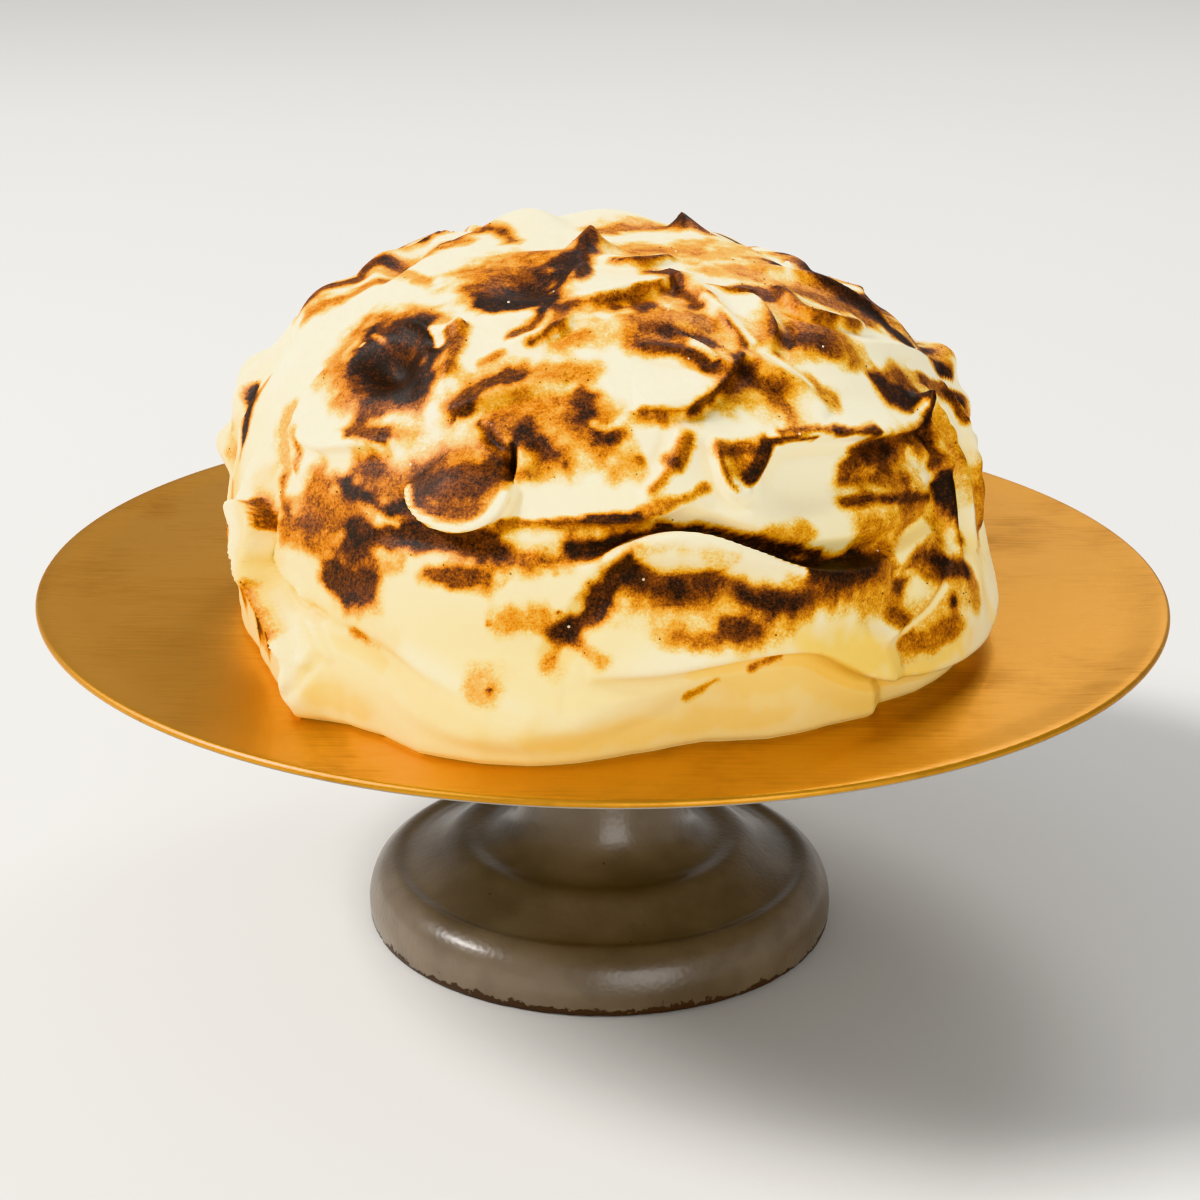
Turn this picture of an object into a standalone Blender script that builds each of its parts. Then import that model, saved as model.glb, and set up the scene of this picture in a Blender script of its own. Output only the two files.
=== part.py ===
"""A baked alaska, browned meringue swept into folds, on a round gilded cake stand.

Units are metres, +Z is up and the front faces -Y. The origin is at the centre of the
stand's underside. Each named object is one real piece: the meringue-covered dessert,
the plate and the turned foot. All three belong to one body.
"""

import math
from collections import namedtuple

import bmesh
import bpy
import numpy as np

MM = 0.001

# Stand
STAND_HEIGHT = 0.100
PLATE_RADIUS = 0.150
PLATE_THICKNESS = 0.0022
PLATE_LIP_RISE = 0.0006
PLATE_LIP_WIDTH = 0.012
PLATE_STEPS = 64
HUB_RADIUS = 0.030
FOOT_RADIUS = 0.0645
FOOT_STEPS = 48
GAP = 0.0003

# Foot outline from the underside up, as (radius, height)
FOOT_OUTLINE = (
    (0.0635, 0.0000),
    (0.0644, 0.0016),
    (0.0645, 0.0070),
    (0.0625, 0.0130),
    (0.0580, 0.0168),
    (0.0534, 0.0164),
    (0.0463, 0.0195),
    (0.0395, 0.0232),
    (0.0330, 0.0228),
    (0.0285, 0.0246),
    (0.0240, 0.0285),
    (0.0212, 0.0360),
    (0.0190, 0.0520),
    (0.0188, 0.0640),
    (0.0206, 0.0780),
    (0.0246, 0.0880),
    (0.0290, 0.0935),
)

# Dessert: a squarish dome, a little deeper in front than behind
DOME_CENTRE_Y = -0.022
DOME_HALF_WIDTH = 0.0975
DOME_FRONT_DEPTH = 0.1045
DOME_BACK_DEPTH = 0.100
DOME_HEIGHT = 0.0953
DOME_SQUARENESS = 2.75
DOME_CELLS = 34
RIM_RINGS = DOME_CELLS // 2
PATH_SAMPLES = 20

# A fold is a ridge, or with a negative height a groove, along a path of (azimuth, lift)
# points in degrees: azimuth 0 is the front, positive to the right; lift 0 is the plate,
# 90 the crown. Widths are the reach above and below the path, and lean carries the
# crest down over the slope below it, or up where it is negative. All are millimetres.
Fold = namedtuple("Fold", "path height above below lean")

# A mound is a round swelling, or with a negative height a scoop.
Mound = namedtuple("Mound", "azimuth lift across upward height")

FOLDS = (
    # crown
    Fold(((-14, 82.6), (0, 83), (14, 82), (30, 82), (48, 83)), 2.2, 10, 5.5, 1.2),
    Fold(((-60, 80), (-30, 84), (-20, 87.5), (20, 88)), 2.2, 8, 8, 0),
    Fold(((-16, 72), (-13, 77), (-12, 82)), 2.8, 5.5, 5.5, 0),
    Fold(((-13, 71), (-4, 71.4), (5, 73), (12, 74), (20, 75), (28, 78.5)), 2.9, 13, 5.5, 1.4),
    Fold(((-34, 62.6), (-26, 63.2), (-20, 65), (-17, 68)), 1.2, 7, 5.5, 0.6),
    Fold(((-22, 58.2), (-17, 59.4), (-12.5, 61.8), (-9, 66)), 2.3, 5.5, 5.5, 0.9),
    # right shoulder
    Fold(((30, 79), (31.3, 70), (31, 63), (31, 56)), 2.8, 8, 5.5, 0.6),
    Fold(((45, 69), (41, 63), (39, 59), (34, 54.5)), 2.5, 5.5, 8, -0.6),
    Fold(((5, 58.4), (13, 57), (19, 55.2), (24, 52)), 2.2, 7, 5.5, 1),
    Fold(((15, 61), (18, 58.2), (21, 54.6)), 1.6, 5.5, 5.5, 0),
    Fold(((58, 68), (54.5, 64), (53, 61), (55, 58.6), (60, 56), (68, 53.5)), 2.7, 10, 5.5, 1.4),
    Fold(((64, 74), (76, 62), (81, 50)), 2.8, 8, 5.5, 0),
    Fold(((58, 51), (68, 47), (78, 41), (88, 36)), 2.4, 5.5, 5.5, 0),
    Fold(((74, 72), (82, 60), (85, 46)), -2.2, 5.5, 5.5, 0),
    Fold(((5, 46.4), (12, 46), (16, 46.8), (20, 49.4), (28, 55)), 3.1, 13, 5.5, 2),
    Fold(((27, 56), (32, 51), (36, 47), (39, 41)), 2.6, 8, 6, 0),
    Fold(((13, 42), (12, 38.5), (9.6, 34.2), (5, 30.6)), 2, 9, 5.5, 0.5),
    # left shoulder
    Fold(((-50, 58), (-43, 58), (-38, 57.2), (-35.2, 59.4)), 2.3, 10, 5.5, 1),
    Fold(((-34.6, 59.6), (-32, 54.5), (-30.4, 49.5), (-29, 44)), 2.4, 7, 5.5, -0.6),
    Fold(((-29, 42.3), (-25, 43.8), (-20, 46.6), (-13, 49.4), (-7, 49.8)), 2.5, 8, 5.5, 1),
    Fold(((-57, 32.5), (-50, 31.7), (-44, 33.4), (-38, 35.2), (-31, 36.6)), 2.5, 8, 5.5, 0.8),
    Fold(((-74, 52), (-73, 40), (-71, 28)), 2.8, 6, 6, 0),
    Fold(((-59, 44), (-57.5, 34), (-54, 28), (-50, 25.5)), 2.2, 9, 5.5, 0.4),
    Fold(((-92, 44), (-90, 35), (-84, 24)), 2.3, 5.5, 6, 0),
    # middle
    Fold(((-30, 30), (-27.6, 27), (-24, 25.2), (-20, 25), (-16.4, 26.8), (-14.7, 30),
         (-15, 34.5)), 3.8, 11, 5.5, 1.6),
    Fold(((-12, 26.6), (-4, 27.5), (3, 27.5), (9, 29), (16, 31.4)), 2.2, 14, 5.5, 1.3),
    Fold(((22, 31.4), (24, 34), (26.4, 37), (34, 38.2), (41, 37), (50, 35.4), (57, 34.4),
         (61, 35), (64, 37)), 3.4, 10, 5.5, 2),
    Fold(((18, 40), (17.8, 35), (18.4, 31.8), (20, 30), (22, 31)), 2.5, 6, 5.5, 1),
    Fold(((64, 37), (61, 30), (59.8, 22), (60, 12)), 3.8, 5.5, 5.5, 0),
    Fold(((71, 38), (69.6, 28), (69, 20), (69, 11)), 3, 5.5, 5.5, 0),
    Fold(((81, 36), (78, 24), (76, 11)), 3.6, 5.5, 5.5, 0),
    Fold(((49, 32.5), (56, 30.2), (61, 24), (61, 18)), 1.8, 5.5, 5.5, 0),
    # the long wave across the front, with the deep groove above its crest
    Fold(((-8, 21.6), (-1, 22.6), (7, 25.4), (13, 25.5), (20, 22.6), (30, 19), (44, 18.2),
         (58, 19.5)), -3, 7, 6, 0),
    Fold(((-3, 19), (2, 21.8), (8, 23.7), (14, 23), (20, 20.4), (27, 17.2), (35, 15.4),
         (44, 15)), 4, 6.5, 16, 0),
    Fold(((-8, 7.5), (-5, 11.5), (-1, 16), (3, 19.2), (12, 18.4), (28, 14.7)),
         -2.2, 5.5, 7, 0),
    # the lower lobe, whose edge stands clear of the plate on the right
    Fold(((-2, 7), (8, 7.8), (16, 8.8), (23, 9.3), (29, 8.6), (34, 6.2), (39, 4.2),
         (48, 2.7), (62, 2.4), (78, 3), (92, 4), (108, 3)), 5.9, 17, 6, 1),
    Fold(((34, 8.8), (41, 7.5), (46, 8.4), (50, 10), (54, 12.2), (59, 14.5)), 2.4, 5.5, 5.5, 0),
    # drapes down to the tail on the left
    Fold(((-66, 26), (-60, 16), (-54, 9.5), (-47.4, 4.8), (-42, 0)), 5.5, 9, 12, 1),
    Fold(((-63, 17), (-59.4, 17.8), (-54.6, 15), (-52, 10.6)), 3.6, 6, 8, -1),
    Fold(((-60, 14), (-56, 11.4), (-52, 9.6), (-47.4, 6.4), (-40.6, 3.8)), 3.2, 5.5, 5.5, 0.9),
    Fold(((-46.6, 6), (-44.2, 4), (-43.2, 2.2), (-43.6, 0.4)), 2, 5.5, 5.5, 0.3),
    Fold(((-44, 9.4), (-35, 9.8), (-29, 8.6), (-22, 6.6), (-13, 5), (-5, 4.4)),
         2.4, 10, 5.5, 1),
    Fold(((-66, 19), (-61, 16.6), (-57, 12)), 1.6, 5.5, 5.5, 0.6),
    Fold(((-84, 32), (-83, 20), (-76, 8)), -2, 5.5, 5.5, 0),
    # the lap at the front of the foot
    Fold(((-30, 4.6), (-20, 2.6), (-8, 2.2), (4, 3.4), (12, 6)), 2, 8, 6, 0),
    # where the back meets the sides
    Fold(((99, 29), (108, 34), (119, 35), (129, 31)), 2.2, 11, 6, 1),
    Fold(((104, 52), (112, 50), (121, 44)), 1.4, 9, 6, 1),
    Fold(((92, 14), (100, 17), (112, 14)), 2.6, 10, 6, 1),
    Fold(((236, 20), (248, 26), (262, 22)), 3, 11, 6, 1),
    Fold(((238, 44), (250, 47), (260, 41)), 2.6, 10, 6, 1),
    Fold(((228, 66), (243, 63), (258, 55)), 2.8, 10, 6, 1),
    Fold(((244, 12), (254, 14), (266, 9)), 2.2, 9, 6, 1),
)

MOUNDS = (
    Mound(-130, 80, 14, 14, 5),
    Mound(133, 80, 8, 8, 4.5),
    Mound(180, 80, 20, 12, 3),
    Mound(108, 66, 7, 6, 3.4),
    Mound(101, 58, 6, 6, 1),
    Mound(102, 43, 22, 9, -4.6),
    Mound(98, 52, 20, 9, -2),
    Mound(94, 63, 14, 10, -2.5),
    Mound(94, 34.6, 16, 9, 5.2),
    Mound(92, 27, 16, 8, 3.6),
    Mound(-92, 26, 26, 17, 4.4),
    Mound(-98, 30, 16, 10, 3.6),
    Mound(-90, 18, 14, 7, 4.6),
    Mound(-86, 57, 26, 16, -1.2),
    Mound(-95, 48, 22, 12, 3.6),
    Mound(-100, 65, 24, 9, -5),
    Mound(113, 64, 40, 24, -6.4),
    Mound(-112, 76, 12, 9, 1.4),
    Mound(-29, 74, 13, 10, -3.2),
    Mound(-45, 49, 13, 10, -6.5),
    Mound(-21, 31, 12, 9, 3),
    Mound(32, 30, 18, 11, -3.8),
    Mound(-5, 32, 18, 8, -1.6),
    Mound(-52, 16, 18, 14, 2),
    Mound(60, 8, 26, 16, 4.5),
    Mound(63.2, 36.2, 6, 6, 4.4),
    Mound(-22, 87, 8, 8, 4.6),
    Mound(-34.4, 59, 6, 6, 2.6),
    Mound(12, 64, 20, 8, 1.6),
    Mound(50, 54, 16, 12, 2),
    Mound(10, 48, 16, 7, 1.2),
)

# How far the foot of the meringue spreads or draws in, in mm, round the azimuths
BASE_SPREAD = (
    (-180, 3), (-168, -3), (-155, 2), (-140, 6), (-130, -2), (-110, -3), (-90, -3),
    (-66, -5), (-58, -3), (-52, 0), (-47, 2.4), (-44, 5), (-42, 7), (-39, 4.6), (-36, 3),
    (-30, 3), (-23, 7), (-15, 8), (-9, 7), (-3, 3.5), (4, -2), (10, -5), (15, -6.5),
    (24, -3), (34, -3), (41, -1), (45, -5), (53, -2), (70, -1), (90, -3), (112, -4),
    (128, 3), (146, 5), (160, -4), (180, 3),
)
SPREAD_LIFT = 9.0

# The back repeats the folds of the front that lie within these bounds, turned round
BACK_TURN = 176.0
BACK_EDGE = 72.0
BACK_CROWN = 70.0

# Finishes: base colour, roughness, metallic
MERINGUE_FINISH = ((0.93, 0.86, 0.70), 0.55, 0.0)
GILT_FINISH = ((0.62, 0.38, 0.13), 0.35, 1.0)
STONEWARE_FINISH = ((0.36, 0.32, 0.25), 0.40, 0.0)


def dome_point(azimuth, lift):
    """Points on the smooth dome, for arrays of azimuth and lift in radians."""
    out = np.abs(np.cos(lift)) ** (2 / DOME_SQUARENESS)
    up = np.abs(np.sin(lift)) ** (2 / DOME_SQUARENESS)
    depth = np.where(np.cos(azimuth) > 0, DOME_FRONT_DEPTH, DOME_BACK_DEPTH)
    x = DOME_HALF_WIDTH * np.sin(azimuth) * out
    y = DOME_CENTRE_Y - depth * np.cos(azimuth) * out
    return np.stack([x, y, STAND_HEIGHT + GAP + DOME_HEIGHT * up], axis=-1)


def dome_normal(points):
    """Outward unit normals of the smooth dome at points on it."""
    p = points - np.array([0.0, DOME_CENTRE_Y, STAND_HEIGHT + GAP])
    depth = np.where(p[..., 1] < 0, DOME_FRONT_DEPTH, DOME_BACK_DEPTH)
    radial = np.hypot(p[..., 0] / DOME_HALF_WIDTH, p[..., 1] / depth)
    power = DOME_SQUARENESS - 1
    flat = np.maximum(radial, 1e-4) ** (power - 1)
    normal = np.stack([
        flat * p[..., 0] / DOME_HALF_WIDTH ** 2,
        flat * p[..., 1] / depth ** 2,
        np.maximum(p[..., 2] / DOME_HEIGHT, 0) ** power / DOME_HEIGHT,
    ], axis=-1)
    return normal / np.maximum(np.linalg.norm(normal, axis=-1, keepdims=True), 1e-12)


def smooth_path(path):
    """A smooth run of points on the dome through a fold's own (azimuth, lift) points."""
    corners = dome_point(*np.radians(np.array(path, float)).T)
    ends = np.vstack([2 * corners[0] - corners[1], corners, 2 * corners[-1] - corners[-2]])
    run = []
    for a, b, c, d in zip(ends, ends[1:], ends[2:], ends[3:]):
        for t in np.linspace(0, 1, PATH_SAMPLES // (len(corners) - 1) + 2)[:-1]:
            run.append(0.5 * (2 * b + (c - a) * t + (2 * a - 5 * b + 4 * c - d) * t ** 2
                              + (3 * b - a - 3 * c + d) * t ** 3))
    return np.array(run + [corners[-1]])


def swell(distance, reach):
    """1 at distance 0, falling smoothly to 0 at the reach."""
    return np.clip(1 - (distance / reach) ** 2, 0, 1) ** 2


def fold_shift(fold, points, normals):
    """How one fold moves each point of the dome."""
    run = smooth_path(fold.path)
    start, leg = run[:-1], np.diff(run, axis=0)
    length = np.linalg.norm(leg, axis=1)
    along = np.concatenate([[0], np.cumsum(length)])
    to_point = points[:, None, :] - start[None]
    share = np.clip(np.einsum("pij,ij->pi", to_point, leg) / length ** 2, 0, 1)
    offset = to_point - share[..., None] * leg[None]
    distance = np.linalg.norm(offset, axis=2)
    nearest = distance.argmin(axis=1)
    rows = np.arange(len(points))
    offset, distance = offset[rows, nearest], distance[rows, nearest]
    place = (along[nearest] + share[rows, nearest] * length[nearest]) / along[-1]
    upward = np.cross(normals, leg[nearest] / length[nearest][:, None])
    side = np.einsum("ij,ij->i", offset, upward)
    reach = np.where(side > 0, fold.above, fold.below) * MM
    strength = swell(distance, reach) * np.sqrt(np.clip(np.sin(math.pi * place), 0, 1))
    return strength[:, None] * (fold.height * normals - fold.lean * upward) * MM


def mound_shift(mound, points, normals):
    """How one mound or scoop moves each point of the dome."""
    centre = dome_point(*np.radians([mound.azimuth, mound.lift]))
    out = dome_normal(centre)
    across = np.cross([0.0, 0.0, 1.0], out)
    across = across / max(np.linalg.norm(across), 1e-9)
    upward = np.cross(out, across)
    offset = points - centre
    u = offset @ across / (mound.across * MM)
    v = offset @ upward / (mound.upward * MM)
    depth = offset @ out / (max(mound.across, mound.upward) * MM)
    strength = swell(np.sqrt(u ** 2 + v ** 2 + depth ** 2), 1.0)
    return strength[:, None] * mound.height * MM * normals


def behind(folds):
    """Folds for the back of the dome: those low on the front, turned round."""
    for fold in folds:
        if all(abs(azimuth) < BACK_EDGE and lift < BACK_CROWN for azimuth, lift in fold.path):
            yield fold._replace(path=tuple((azimuth + BACK_TURN, 0.94 * lift + 0.02 * azimuth)
                                           for azimuth, lift in fold.path))


def base_shift(azimuth, lift):
    """The spread of the meringue's foot, fading out up the side."""
    degrees = np.degrees(azimuth)
    stops, spread = np.array(BASE_SPREAD, float).T
    amount = np.interp(degrees, stops, spread) * MM
    fade = swell(np.degrees(lift), SPREAD_LIFT)
    outward = np.stack([np.sin(azimuth), -np.cos(azimuth), np.zeros_like(azimuth)], axis=-1)
    return (amount * fade)[:, None] * outward


def ring_lifts():
    """Lifts of the rings from the plate to the crown, evenly spaced along the dome."""
    fine = np.linspace(0, math.pi / 2, 721)
    outline = dome_point(np.zeros_like(fine), fine)
    along = np.concatenate([[0], np.cumsum(np.linalg.norm(np.diff(outline, axis=0), axis=1))])
    rings = RIM_RINGS + DOME_CELLS // 2
    return np.interp(np.linspace(0, along[-1], rings + 1), along, fine)


def dome_grid():
    """Azimuth and lift of the grid points, and the faces over them.

    Four sides and a top, as on the upper half of a cube, leave no pole at the crown.
    """
    lifts = ring_lifts()
    half = DOME_CELLS // 2
    index, azimuths, elevations = {}, [], []

    def vertex(i, j, level):
        """The point at column i and row j of the top square, or below its border."""
        key = (i, j, level)
        if key not in index:
            x, y = i - half, j - half
            ring = max(abs(x), abs(y))
            if ring == 0:
                angle = 0.0
            elif abs(x) >= abs(y):
                angle = math.copysign(math.pi / 2, x) * (1 + y / abs(x) / 2)
            else:
                angle = math.pi / 4 * x / abs(y)
                angle = angle if y < 0 else math.pi - angle
            index[key] = len(azimuths)
            azimuths.append((angle + math.pi) % (2 * math.pi) - math.pi)
            elevations.append(lifts[len(lifts) - 1 - ring - level])
        return index[key]

    faces = []
    for i in range(DOME_CELLS):
        for j in range(DOME_CELLS):
            corners = ((i, j), (i + 1, j), (i + 1, j + 1), (i, j + 1))
            faces.append([vertex(a, b, 0) for a, b in corners])
    border = ([(i, 0) for i in range(DOME_CELLS)]
              + [(DOME_CELLS, j) for j in range(DOME_CELLS)]
              + [(i, DOME_CELLS) for i in range(DOME_CELLS, 0, -1)]
              + [(0, j) for j in range(DOME_CELLS, 0, -1)])
    pairs = list(zip(border, border[1:] + border[:1]))
    for level in range(RIM_RINGS):
        for (i, j), (k, m) in pairs:
            faces.append([vertex(k, m, level), vertex(i, j, level),
                          vertex(i, j, level + 1), vertex(k, m, level + 1)])
    rim = [vertex(i, j, RIM_RINGS) for i, j in border]
    return np.array(azimuths), np.array(elevations), faces, rim


def plain_material(name, finish):
    """A Principled material of one colour, roughness and metallic value."""
    colour, roughness, metallic = finish
    material = bpy.data.materials.new(name)
    material.use_nodes = True
    shader = material.node_tree.nodes["Principled BSDF"]
    shader.inputs["Base Color"].default_value = (*colour, 1.0)
    shader.inputs["Roughness"].default_value = roughness
    shader.inputs["Metallic"].default_value = metallic
    material.diffuse_color = (*colour, 1.0)
    return material


def add_object(name, mesh, finish):
    """Link a mesh into the scene as one named piece with its own material."""
    mesh.shade_smooth()
    mesh.set_sharp_from_angle(angle=math.radians(40))
    mesh.materials.append(plain_material(name + "_finish", finish))
    piece = bpy.data.objects.new(name, mesh)
    bpy.context.scene.collection.objects.link(piece)
    return piece


def turned(name, outline, steps, finish):
    """A solid of revolution from an outline of (radius, height), lowest point first."""
    shape = bmesh.new()
    chain = [shape.verts.new((0, 0, outline[0][1]))]
    chain += [shape.verts.new((radius, 0, height)) for radius, height in outline]
    chain += [shape.verts.new((0, 0, outline[-1][1]))]
    edges = [shape.edges.new(pair) for pair in zip(chain, chain[1:])]
    bmesh.ops.spin(shape, geom=chain + edges, cent=(0, 0, 0), axis=(0, 0, 1),
                   angle=2 * math.pi, steps=steps, use_merge=True)
    bmesh.ops.remove_doubles(shape, verts=shape.verts, dist=0.01 * MM)
    bmesh.ops.recalc_face_normals(shape, faces=shape.faces)
    mesh = bpy.data.meshes.new(name)
    shape.to_mesh(mesh)
    shape.free()
    return add_object(name, mesh, finish)


def make_foot():
    """The turned foot: a low rounded base, a bead and a slim neck flaring to the plate."""
    top = STAND_HEIGHT - PLATE_THICKNESS - GAP
    return turned("foot", FOOT_OUTLINE + ((HUB_RADIUS, top),), FOOT_STEPS, STONEWARE_FINISH)


def make_plate():
    """The flat plate, whose rim rises very slightly and has a rounded edge."""
    under = STAND_HEIGHT - PLATE_THICKNESS
    lip = PLATE_RADIUS - PLATE_LIP_WIDTH
    edge = PLATE_THICKNESS / 4
    outline = (
        (lip, under),
        (PLATE_RADIUS - edge, under + PLATE_LIP_RISE),
        (PLATE_RADIUS, under + PLATE_LIP_RISE + edge),
        (PLATE_RADIUS, STAND_HEIGHT + PLATE_LIP_RISE - edge),
        (PLATE_RADIUS - edge, STAND_HEIGHT + PLATE_LIP_RISE),
        (lip, STAND_HEIGHT),
    )
    return turned("plate", outline, PLATE_STEPS, GILT_FINISH)


def make_meringue():
    """The uncut dessert: the dome moved by its folds, mounds and spreading foot."""
    azimuth, lift, faces, rim = dome_grid()
    points = dome_point(azimuth, lift)
    normals = dome_normal(points)
    moved = points + base_shift(azimuth, lift)
    for fold in (*FOLDS, *behind(FOLDS)):
        moved += fold_shift(fold, points, normals)
    for mound in MOUNDS:
        moved += mound_shift(mound, points, normals)
    floor = STAND_HEIGHT + GAP
    moved[:, 2] = np.maximum(moved[:, 2], floor)
    moved[rim, 2] = floor

    shape = bmesh.new()
    verts = [shape.verts.new(point) for point in moved.tolist()]
    for face in faces:
        shape.faces.new([verts[k] for k in face])
    centre = shape.verts.new((0, DOME_CENTRE_Y, floor))
    for a, b in zip(rim, rim[1:] + rim[:1]):
        shape.faces.new((verts[a], verts[b], centre))
    bmesh.ops.triangulate(shape, faces=shape.faces, quad_method="SHORT_EDGE")
    bmesh.ops.recalc_face_normals(shape, faces=shape.faces)
    mesh = bpy.data.meshes.new("meringue")
    shape.to_mesh(mesh)
    shape.free()
    return add_object("meringue", mesh, MERINGUE_FINISH)


def main():
    """Clear the scene and make the three pieces."""
    for old in list(bpy.data.objects):
        bpy.data.objects.remove(old, do_unlink=True)
    make_foot()
    make_plate()
    make_meringue()


main()
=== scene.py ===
"""The looks of a baked alaska on a gilded cake stand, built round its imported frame.

Units are metres and +Z is up; the dessert's front faces -Y. Places on the dessert are
given as (azimuth, lift) in degrees on a smooth dome: azimuth 0 is the front and grows to
the right, lift 0 is the plate and 90 the crown. Reaches and heights there are in mm.
"""

from __future__ import annotations

import logging
import math
from collections.abc import Iterable, Sequence
from dataclasses import dataclass, field, replace
from enum import Enum

import bmesh
import bpy
import numpy as np
from mathutils import Matrix, Vector, noise


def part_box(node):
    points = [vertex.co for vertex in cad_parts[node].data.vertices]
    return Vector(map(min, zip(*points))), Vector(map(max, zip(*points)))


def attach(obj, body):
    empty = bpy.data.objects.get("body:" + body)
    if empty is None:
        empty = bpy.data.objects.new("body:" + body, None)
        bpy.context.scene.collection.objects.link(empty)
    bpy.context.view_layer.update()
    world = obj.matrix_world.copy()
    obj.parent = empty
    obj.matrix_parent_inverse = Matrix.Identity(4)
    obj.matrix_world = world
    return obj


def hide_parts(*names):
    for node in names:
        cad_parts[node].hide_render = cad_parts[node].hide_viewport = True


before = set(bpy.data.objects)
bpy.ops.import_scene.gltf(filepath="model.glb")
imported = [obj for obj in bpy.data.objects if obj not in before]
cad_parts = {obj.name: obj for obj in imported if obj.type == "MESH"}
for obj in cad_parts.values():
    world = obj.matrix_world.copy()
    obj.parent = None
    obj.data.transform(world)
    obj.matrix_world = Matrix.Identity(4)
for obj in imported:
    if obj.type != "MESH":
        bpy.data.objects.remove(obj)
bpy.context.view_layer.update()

LOG = logging.getLogger("baked_alaska")
MM = 0.001
Path = tuple[tuple[float, float], ...]
Colour = tuple[float, float, float]


def added(name: str, data: bpy.types.ID) -> bpy.types.Object:
    """Put a new object into the scene.

    Args:
        name: Its name.
        data: Its mesh, light or camera.

    Returns:
        The object.
    """
    made = bpy.data.objects.new(name, data)
    bpy.context.scene.collection.objects.link(made)
    return made


# ---------------------------------------------------------------- node trees


class Value:
    """A node's output socket that can be used in a Python expression."""

    def __init__(self, graph: Graph, socket: bpy.types.NodeSocket) -> None:
        """Keep the socket and the graph that its nodes are added to."""
        self.graph = graph
        self.socket = socket

    def _maths(self, operation: str, *numbers: Value | float) -> Value:
        """Add one Math node."""
        return self.graph.node("ShaderNodeMath", {"operation": operation}, numbers)

    def __add__(self, other: Value | float) -> Value:
        """This value plus another."""
        return self._maths("ADD", self, other)

    def __sub__(self, other: Value | float) -> Value:
        """This value minus another."""
        return self._maths("SUBTRACT", self, other)

    def __rsub__(self, other: float) -> Value:
        """A number minus this value."""
        return self._maths("SUBTRACT", other, self)

    def __mul__(self, other: Value | float) -> Value:
        """This value times another."""
        return self._maths("MULTIPLY", self, other)

    def __truediv__(self, other: Value | float) -> Value:
        """This value divided by another."""
        return self._maths("DIVIDE", self, other)

    def __rtruediv__(self, other: float) -> Value:
        """A number divided by this value."""
        return self._maths("DIVIDE", other, self)

    __radd__ = __add__
    __rmul__ = __mul__

    def above(self, other: Value | float) -> Value:
        """1 where this value is the larger, otherwise 0."""
        return self._maths("GREATER_THAN", self, other)

    def below(self, other: Value | float) -> Value:
        """1 where this value is the smaller, otherwise 0."""
        return self._maths("LESS_THAN", self, other)

    def at_least(self, other: Value | float) -> Value:
        """The larger of this value and another."""
        return self._maths("MAXIMUM", self, other)

    def whole(self) -> Value:
        """This value rounded to a whole number."""
        return self._maths("ROUND", self)

    def clamp(self) -> Value:
        """This value held between 0 and 1."""
        return self.graph.node("ShaderNodeClamp", {}, [self])

    def step(self, low: float, high: float) -> Value:
        """A smooth step from 0 at low to 1 at high."""
        settings = {"interpolation_type": "SMOOTHSTEP"}
        return self.graph.node("ShaderNodeMapRange", settings, [self, low, high, 0.0, 1.0])

    def axis(self, name: str) -> Value:
        """One number of this vector: X, Y or Z."""
        return self.graph.node("ShaderNodeSeparateXYZ", {}, [self], name)


class Graph:
    """A node tree under construction."""

    def __init__(self, tree: bpy.types.NodeTree) -> None:
        """Keep the tree."""
        self.tree = tree

    def node(self, kind: str, settings: dict, inputs: Sequence | dict = (),
             output: str | int = 0) -> Value:
        """Add one node.

        Args:
            kind: The node's type name.
            settings: Its properties, set before its sockets; "stops" fills a colour ramp.
            inputs: Numbers or Values by socket order, or by socket name or number.
            output: The output socket's name or number.

        Returns:
            The output socket as a Value.
        """
        made = self.tree.nodes.new(kind)
        for key, setting in settings.items():
            if key == "stops":
                self._fill_ramp(made.color_ramp, setting)
            else:
                setattr(made, key, setting)
        pairs = inputs.items() if isinstance(inputs, dict) else enumerate(inputs)
        for key, given in pairs:
            if isinstance(given, Value):
                self.tree.links.new(given.socket, made.inputs[key])
            else:
                made.inputs[key].default_value = given
        return Value(self, made.outputs[output])

    @staticmethod
    def _fill_ramp(ramp: bpy.types.ColorRamp, stops: Sequence[tuple[float, Colour]]) -> None:
        """Give a colour ramp its stops.

        Args:
            ramp: The ramp.
            stops: Its stops, as (place, colour).
        """
        while len(ramp.elements) < len(stops):
            ramp.elements.new(1.0)
        for element, (place, colour) in zip(ramp.elements, stops):
            element.position = place
            element.color = (*colour, 1.0)


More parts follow.
